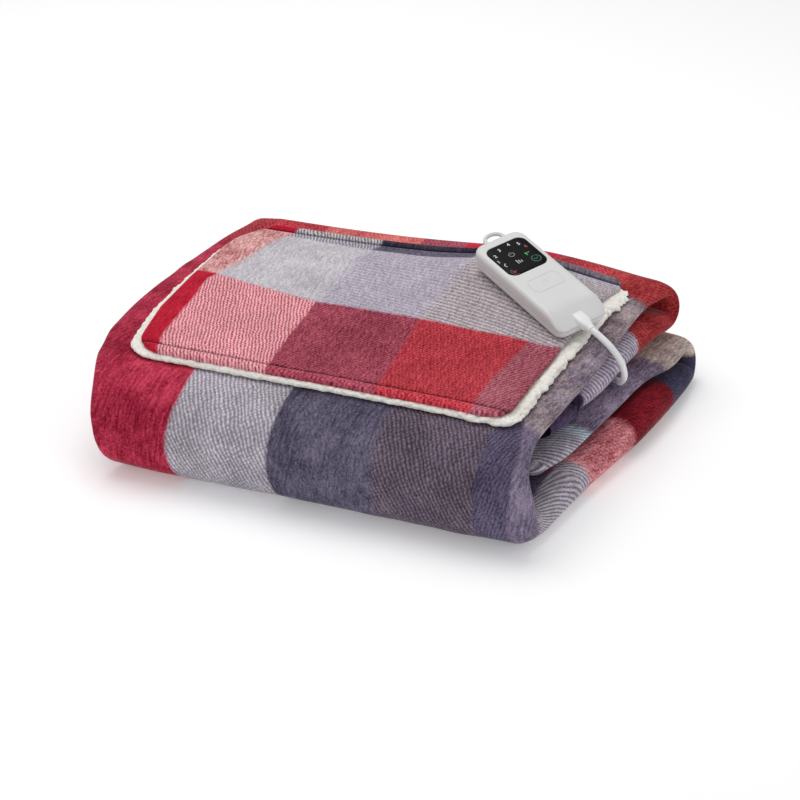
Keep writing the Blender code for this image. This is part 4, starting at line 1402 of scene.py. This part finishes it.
RIB_PITCH, DASH_PITCH, TWILL_PITCH, CROSS_PITCH = 0.0033, 0.0031, 0.0040, 0.0047
RIB_SLANT, DASH_SLANT, TWILL_SLANT = 0.42, 0.5, 0.62
WEAVE_DRIFT, CROSS_BEND = 0.0050, 0.0040  # how far the rows of the weave wander
FAN_MIDDLE, FAN_SPREAD = 0.19, 1.2  # the ribs across fan out round the folded side
CROSS_LEAN, FACE_CROSS_LEAN = 0.50, 0.15
FACE_WEAR = 0.45
PILE_HEIGHT = 0.0010


def weave(finish, across, along, lean):
    """Ribs along the throw, dashes, twill, and ribs across it that slant by lean, all from 0 to 1."""
    at = finish.place()
    u = across + (finish.cloud(at, 55.0) - 0.5) * WEAVE_DRIFT
    v = along + (finish.cloud(at, 62.0) - 0.5) * WEAVE_DRIFT
    ribs = (u + v * RIB_SLANT).waves(RIB_PITCH)
    dashes = (v + u * DASH_SLANT).waves(DASH_PITCH)
    twill = (u - v * TWILL_SLANT).waves(TWILL_PITCH) * (dashes * 0.5 + 0.5)
    on_side = finish.level(along, 0.70, 0.63) * finish.level(along, 0.52, 0.58)
    fan = on_side * (across - FAN_MIDDLE) * FAN_SPREAD
    bend = (finish.cloud(at, 38.0) - 0.5) * CROSS_BEND
    return ribs, dashes, twill, (along + across * lean + bend + fan).waves(CROSS_PITCH)


def fleece(finish, cells, across, along, shade=1.0, wear=1.0, lean=CROSS_LEAN):
    """Short pile over a printed rib: colour, nap, ribs, twill and the relief they make.

    shade darkens or lightens it, wear is how unevenly the pile lies, and lean how far the ribs
    across the throw slant.
    """
    ground, thread, pattern = cells
    parts = finish.node("ShaderNodeSeparateColor", sockets={0: pattern})
    rib, twill, cross = (Number(finish, parts.outputs[i]) for i in range(3))
    at = finish.place()
    speck = finish.cloud(finish.vector(across * 420.0, along * 420.0), 1.0, 3.0, 0.7)
    grain = finish.cloud(at, 600.0, 2.0, 0.7)
    nap = (finish.cloud(at, 26.0, 4.0, 0.6) - 0.5) * wear
    crush = (finish.cloud(at, 13.0, 4.0, 0.6) - 0.5) * wear
    lie = finish.vector(across * 380.0 + along * 60.0, along * 75.0)
    streak = finish.cloud(lie, 1.0, 3.0, 0.7) - 0.5

    ribs, dashes, twill_mark, ribs_across = weave(finish, across, along, lean)
    threads = rib * (ribs * 0.75 + dashes * 0.25) + twill * twill_mark + cross * ribs_across
    plain = 1.0 - finish.level(rib + twill + cross, 0.0, 1.0)
    threads = threads + plain * (0.45 + nap * 0.9 + crush * 0.9 + streak * 1.6)
    shown = finish.level(threads + (speck - 0.5) * 1.1 + (grain - 0.5) * 0.9, 0.12, 0.88)
    light = 1.0 + nap * 0.7 + crush * 0.55 + (speck - 0.5) * 0.75 + (grain - 0.5) * 0.7 + streak * 0.9
    finish.surface(Base_Color=finish.scaled(finish.mix(shown, ground, thread), light * shade))

    height = (ribs * rib + twill_mark * twill + ribs_across * cross) * 0.35
    height = height + speck * 0.22 + grain * 0.12 + nap * 0.6 + streak * 0.25
    finish.relief(height, PILE_HEIGHT, 0.8)


def new_fleece(name):
    """A fleece's finish before its print is worked out."""
    return Finish(name, 0.95, Sheen_Weight=0.30, Sheen_Roughness=0.25, Specular_IOR_Level=0.10)


def border_noise(finish):
    """How far the print's borders wander, as a share of a cell."""
    return (finish.cloud(finish.place(), BORDER_SCALE) - 0.5) * BORDER_RAGGED


def throw_print():
    """The throw's check: rows of reds and of greys, and its own order down the folded side."""
    finish = new_fleece("throw_fleece")
    column, row = finish.pair("print")
    across, along = finish.pair("weave")
    edge = border_noise(finish)
    reds = cell_colours(finish, column + edge, THROW_RED_ROW)
    greys = cell_colours(finish, column + edge, THROW_GREY_ROW)
    is_red = finish.ramp((row + edge) / 6.0, cell_stops([BLACK, WHITE] * 3, 0.02))
    field = mixed(finish, is_red, greys, reds)
    nose = nose_colours(finish, along + edge * 0.06)
    frost = finish.level(finish.cloud(finish.place(), 24.0, 3.0, 0.6), 0.46, 0.66) * 0.55
    is_plush = finish.level(along, 0.262, 0.268) * finish.level(along, 0.62, 0.60)
    nose = mixed(finish, frost * is_plush, nose, LILAC_FROST)
    seen = mixed(finish, finish.level(column, 4.90, 5.02), field, nose)
    # painted shade: the dark purple replaces the print on the cloth inside the folds
    fold_shade_share = finish.level(column, 6.0, 6.3)
    fleece(finish, mixed(finish, fold_shade_share, seen, FOLD_SHADE_PURPLE), across, along)
    return finish.material


def face_print():
    """The flap's check: three rows of five cells, and the rolled hem behind them."""
    finish = new_fleece("flap_fleece")
    column, row = finish.pair("print")
    across, along = finish.pair("weave")
    edge = border_noise(finish)
    ragged = 1.0 + 4.0 * finish.level(column, 1.45, 1.15) * finish.level(row, 0.9, 1.1)
    rows = []
    for row_cells, soft in zip(FACE_PRINT, FACE_SOFTS):
        rows.append(cell_colours(finish, column + edge * ragged, row_cells, soft))
    cells = mixed(finish, finish.level(row + edge, 0.985, 1.015), rows[0], rows[1])
    cells = mixed(finish, finish.level(row + edge, 1.985, 2.015), cells, rows[2])
    cells = mixed(finish, finish.level(row, 2.98, 3.0), cells, rows[3])
    # painted shade along the stitched groove behind the front hem and along the slit before the rolled back
    # hem
    from_stitches = (along - (FACE_FRONT_Y + STITCHES_AT)).absolute()
    from_slit = (along - (FACE_BACK_Y - SLIT_AT + SLIT_SHADE_IN)).absolute()
    out_of_seam_shade = finish.level(from_stitches, 0.0005, 0.0034) * finish.level(from_slit, 0.0012, 0.0022)
    on_hem = (1.0 - finish.level(along - FACE_FRONT_Y, 0.0070, 0.0088)) * finish.level(column, 1.95, 2.05)
    shade = (1.0 - (1.0 - out_of_seam_shade) * SEAM_SHADE) * (1.0 + on_hem * HEM_LIGHT)
    fleece(finish, cells, across, along, shade, FACE_WEAR, FACE_CROSS_LEAN)
    return finish.material


def pile():
    """Cream pile: curled tufts, with painted shade down between them."""
    finish = Finish("cream_pile", 1.0, Sheen_Weight=0.3, Sheen_Roughness=0.6, Specular_IOR_Level=0.1)
    at = finish.place()
    curls = finish.cloud(at, 330.0, 3.0, 0.55)
    fine = finish.cloud(at, 1100.0)
    shade = finish.level(curls * 0.75 + fine * 0.25, 0.30, 0.62)
    finish.surface(Base_Color=finish.mix(shade, srgb(226, 219, 204), srgb(255, 253, 248)))
    finish.relief(curls + fine * 0.4, 0.0016, 0.6)
    return finish.material


def moulded_case():
    """White satin plastic with a very fine spark texture."""
    finish = Finish("moulded_case", 0.36, Specular_IOR_Level=0.35)
    at = finish.place()
    spark = finish.cloud(at, 1500.0)
    haze = finish.cloud(at, 40.0, 3.0)
    finish.surface(
        Base_Color=finish.mix(haze, srgb(211, 211, 211), srgb(223, 223, 222)),
        Roughness=0.30 + haze * 0.08 + spark * 0.05)
    finish.relief(spark, 0.00006, 0.5)
    return finish.material


def touch_glass():
    """Gloss black panel with faint wipe marks."""
    finish = Finish("touch_glass", 0.30, Specular_IOR_Level=0.07)
    x, y, _ = finish.split(finish.place())
    wipe = finish.cloud(finish.vector(x * 60.0, y * 240.0), 1.0, 4.0)
    finish.surface(
        Base_Color=finish.mix(wipe, srgb(7, 8, 9), srgb(14, 15, 16)),
        Roughness=0.24 + wipe * 0.14)
    return finish.material


def lead_sleeve():
    """Soft white sleeve of the cord and the strain relief."""
    finish = Finish("lead_sleeve", 0.42, Specular_IOR_Level=0.5)
    at = finish.place()
    haze = finish.cloud(at, 90.0, 3.0)
    grain = finish.cloud(at, 1800.0, 1.0)
    finish.surface(
        Base_Color=finish.mix(haze, srgb(226, 227, 230), srgb(242, 242, 243)),
        Roughness=0.36 + haze * 0.12)
    finish.relief(grain, 0.00005, 0.4)
    return finish.material


MARK_DIMMEST = 0.75


def lit_mark(name, colour, strength):
    """A lit sign on the panel, a little uneven as print over a lamp is."""
    finish = Finish(name, 0.4)
    glow = finish.cloud(finish.place(), 900.0)
    dimmer = (*(part * MARK_DIMMEST for part in colour[:3]), 1.0)
    shade = finish.mix(glow, dimmer, colour)
    finish.surface(Base_Color=shade, Emission_Color=shade)
    finish.shader.inputs["Emission Strength"].default_value = strength
    return finish.material


def studio_floor():
    """An almost white ground that lies a little brighter than its light makes it."""
    finish = Finish("studio_floor", 0.9, Specular_IOR_Level=0.1, Emission_Color=WHITE)
    finish.shader.inputs["Emission Strength"].default_value = FLOOR_GLOW
    tone = finish.cloud(finish.place(), 3.0)
    finish.surface(Base_Color=finish.mix(tone, srgb(247, 247, 248), srgb(249, 249, 250)))
    return finish.material


# ---------------------------------------------------------------- the studio
CAMERA_AZIMUTH = 23.0
CAMERA_ELEVATION = 28.4
CAMERA_TARGET = (0.024, -0.041, 0.045)
CAMERA_DISTANCE = 2.25
CAMERA_LENS = 113.27
SENSOR_WIDTH = 36.0
VIEW_END = 50.0
FLOOR_GLOW = 0.21
FLOOR_REACH, FLOOR_BELOW = 6, 0.0002
SKY_STRENGTH = 0.46
LAMPS = (
    # name, size, power, place
    ("overhead", (1.5, 1.5), 17.0, (-0.45, 0.30, 1.7)),
    ("front_fill", (1.2, 0.8), 3.0, (-0.4, -1.9, 0.9)),
    ("side_fill", (1.0, 0.8), 3.6, (1.9, -0.6, 0.75)),
)
LAMPS_AIM = (0.0, 0.0, 0.05)


def camera():
    """A long lens from the front, a little to the right and from above."""
    turn, rise = math.radians(CAMERA_AZIMUTH), math.radians(CAMERA_ELEVATION)
    back = Vector((math.sin(turn) * math.cos(rise), -math.cos(turn) * math.cos(rise), math.sin(rise)))
    data = bpy.data.cameras.new("camera")
    data.lens = CAMERA_LENS
    data.sensor_width = SENSOR_WIDTH
    data.clip_end = VIEW_END
    made = bpy.data.objects.new("camera", data)
    made.location = Vector(CAMERA_TARGET) + back * CAMERA_DISTANCE
    made.rotation_mode = "QUATERNION"
    made.rotation_quaternion = (-back).to_track_quat("-Z", "Y")
    bpy.context.scene.collection.objects.link(made)
    bpy.context.scene.camera = made


def lamp(name, size, power, at):
    """A rectangular soft light aimed at the pack."""
    data = bpy.data.lights.new(name, "AREA")
    data.shape = "RECTANGLE"
    data.size, data.size_y = size
    data.energy = power
    made = bpy.data.objects.new(name, data)
    made.location = at
    made.rotation_mode = "QUATERNION"
    made.rotation_quaternion = (Vector(LAMPS_AIM) - Vector(at)).to_track_quat("-Z", "Y")
    bpy.context.scene.collection.objects.link(made)


def studio():
    """A pale floor, a large soft light overhead, and weak ones at the front and the right."""
    corners = [(x * FLOOR_REACH, y * FLOOR_REACH, 0) for x, y in ((-1, -1), (1, -1), (1, 1), (-1, 1))]
    floor = mesh_object("floor", corners, [(0, 1, 2, 3)])
    floor.location.z = -FLOOR_BELOW
    floor.data.materials.append(studio_floor())
    for row in LAMPS:
        lamp(*row)
    world = bpy.data.worlds.new("studio")
    bpy.context.scene.world = world
    world.use_nodes = True
    sky = world.node_tree.nodes["Background"]
    sky.inputs["Color"].default_value = WHITE
    sky.inputs["Strength"].default_value = SKY_STRENGTH
    bpy.context.scene.view_settings.view_transform = "Standard"


# ---------------------------------------------------------------- assembly
MARK_COLOURS = {
    # colour, brightness
    "white": (srgb(192, 197, 199), 0.26),
    "red": (srgb(158, 28, 30), 0.26),
    "green": (srgb(45, 160, 64), 0.40),
    "teal": (srgb(14, 98, 76), 0.32),
    "brown": (srgb(70, 45, 30), 0.2),
    "dim": (srgb(126, 130, 132), 0.12),
}


def dress(made, material, slot, *nodes):
    """Gives a piece its finish and puts it in the place of CAD nodes; slot is not used."""
    made.data.materials.append(material)
    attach(made, "root")
    if nodes:
        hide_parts(*nodes)
    return made


def on_controller(made):
    """Moves a piece from the controller's own frame to where the controller lies."""
    made.data.transform(controller_matrix())
    return made


def add_cord():
    made, length = lead_cord()
    dress(made, lead_sleeve(), "lead", "cord")


def add_cloth():
    cloth = dress(throw_cloth(), throw_print(), "check_fleece", "blanket")
    face = dress(flap_face(), face_print(), "check_fleece")
    lining = dress(flap_pile(), pile(), "pile_lining", "sherpa_lining")


def add_controller():
    case = moulded_case()
    dress(on_controller(upper_shell()), case, "case", "controller_upper_shell")
    dress(on_controller(lower_shell()), case, "case", "controller_lower_shell")
    dress(on_controller(head_loop()), case, "case", "hanging_loop")
    dress(on_controller(strain_relief()), lead_sleeve(), "lead", "cord_gland")
    dress(on_controller(black_panel()), touch_glass(), "panel", "touch_panel")
    for line in key_outline():
        dress(on_controller(line), case, "case")
    lit = {name: lit_mark("lit_" + name, *values) for name, values in MARK_COLOURS.items()}
    for mark, colour in panel_marks():
        dress(on_controller(mark), lit[colour], "panel")


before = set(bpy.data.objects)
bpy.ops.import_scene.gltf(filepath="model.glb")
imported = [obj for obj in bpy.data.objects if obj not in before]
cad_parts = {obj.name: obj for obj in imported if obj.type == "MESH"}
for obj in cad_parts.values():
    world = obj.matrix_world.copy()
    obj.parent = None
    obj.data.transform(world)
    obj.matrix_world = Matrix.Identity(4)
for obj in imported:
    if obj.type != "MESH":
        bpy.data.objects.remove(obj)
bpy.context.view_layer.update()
camera()
add_cord()
add_cloth()
add_controller()
studio()
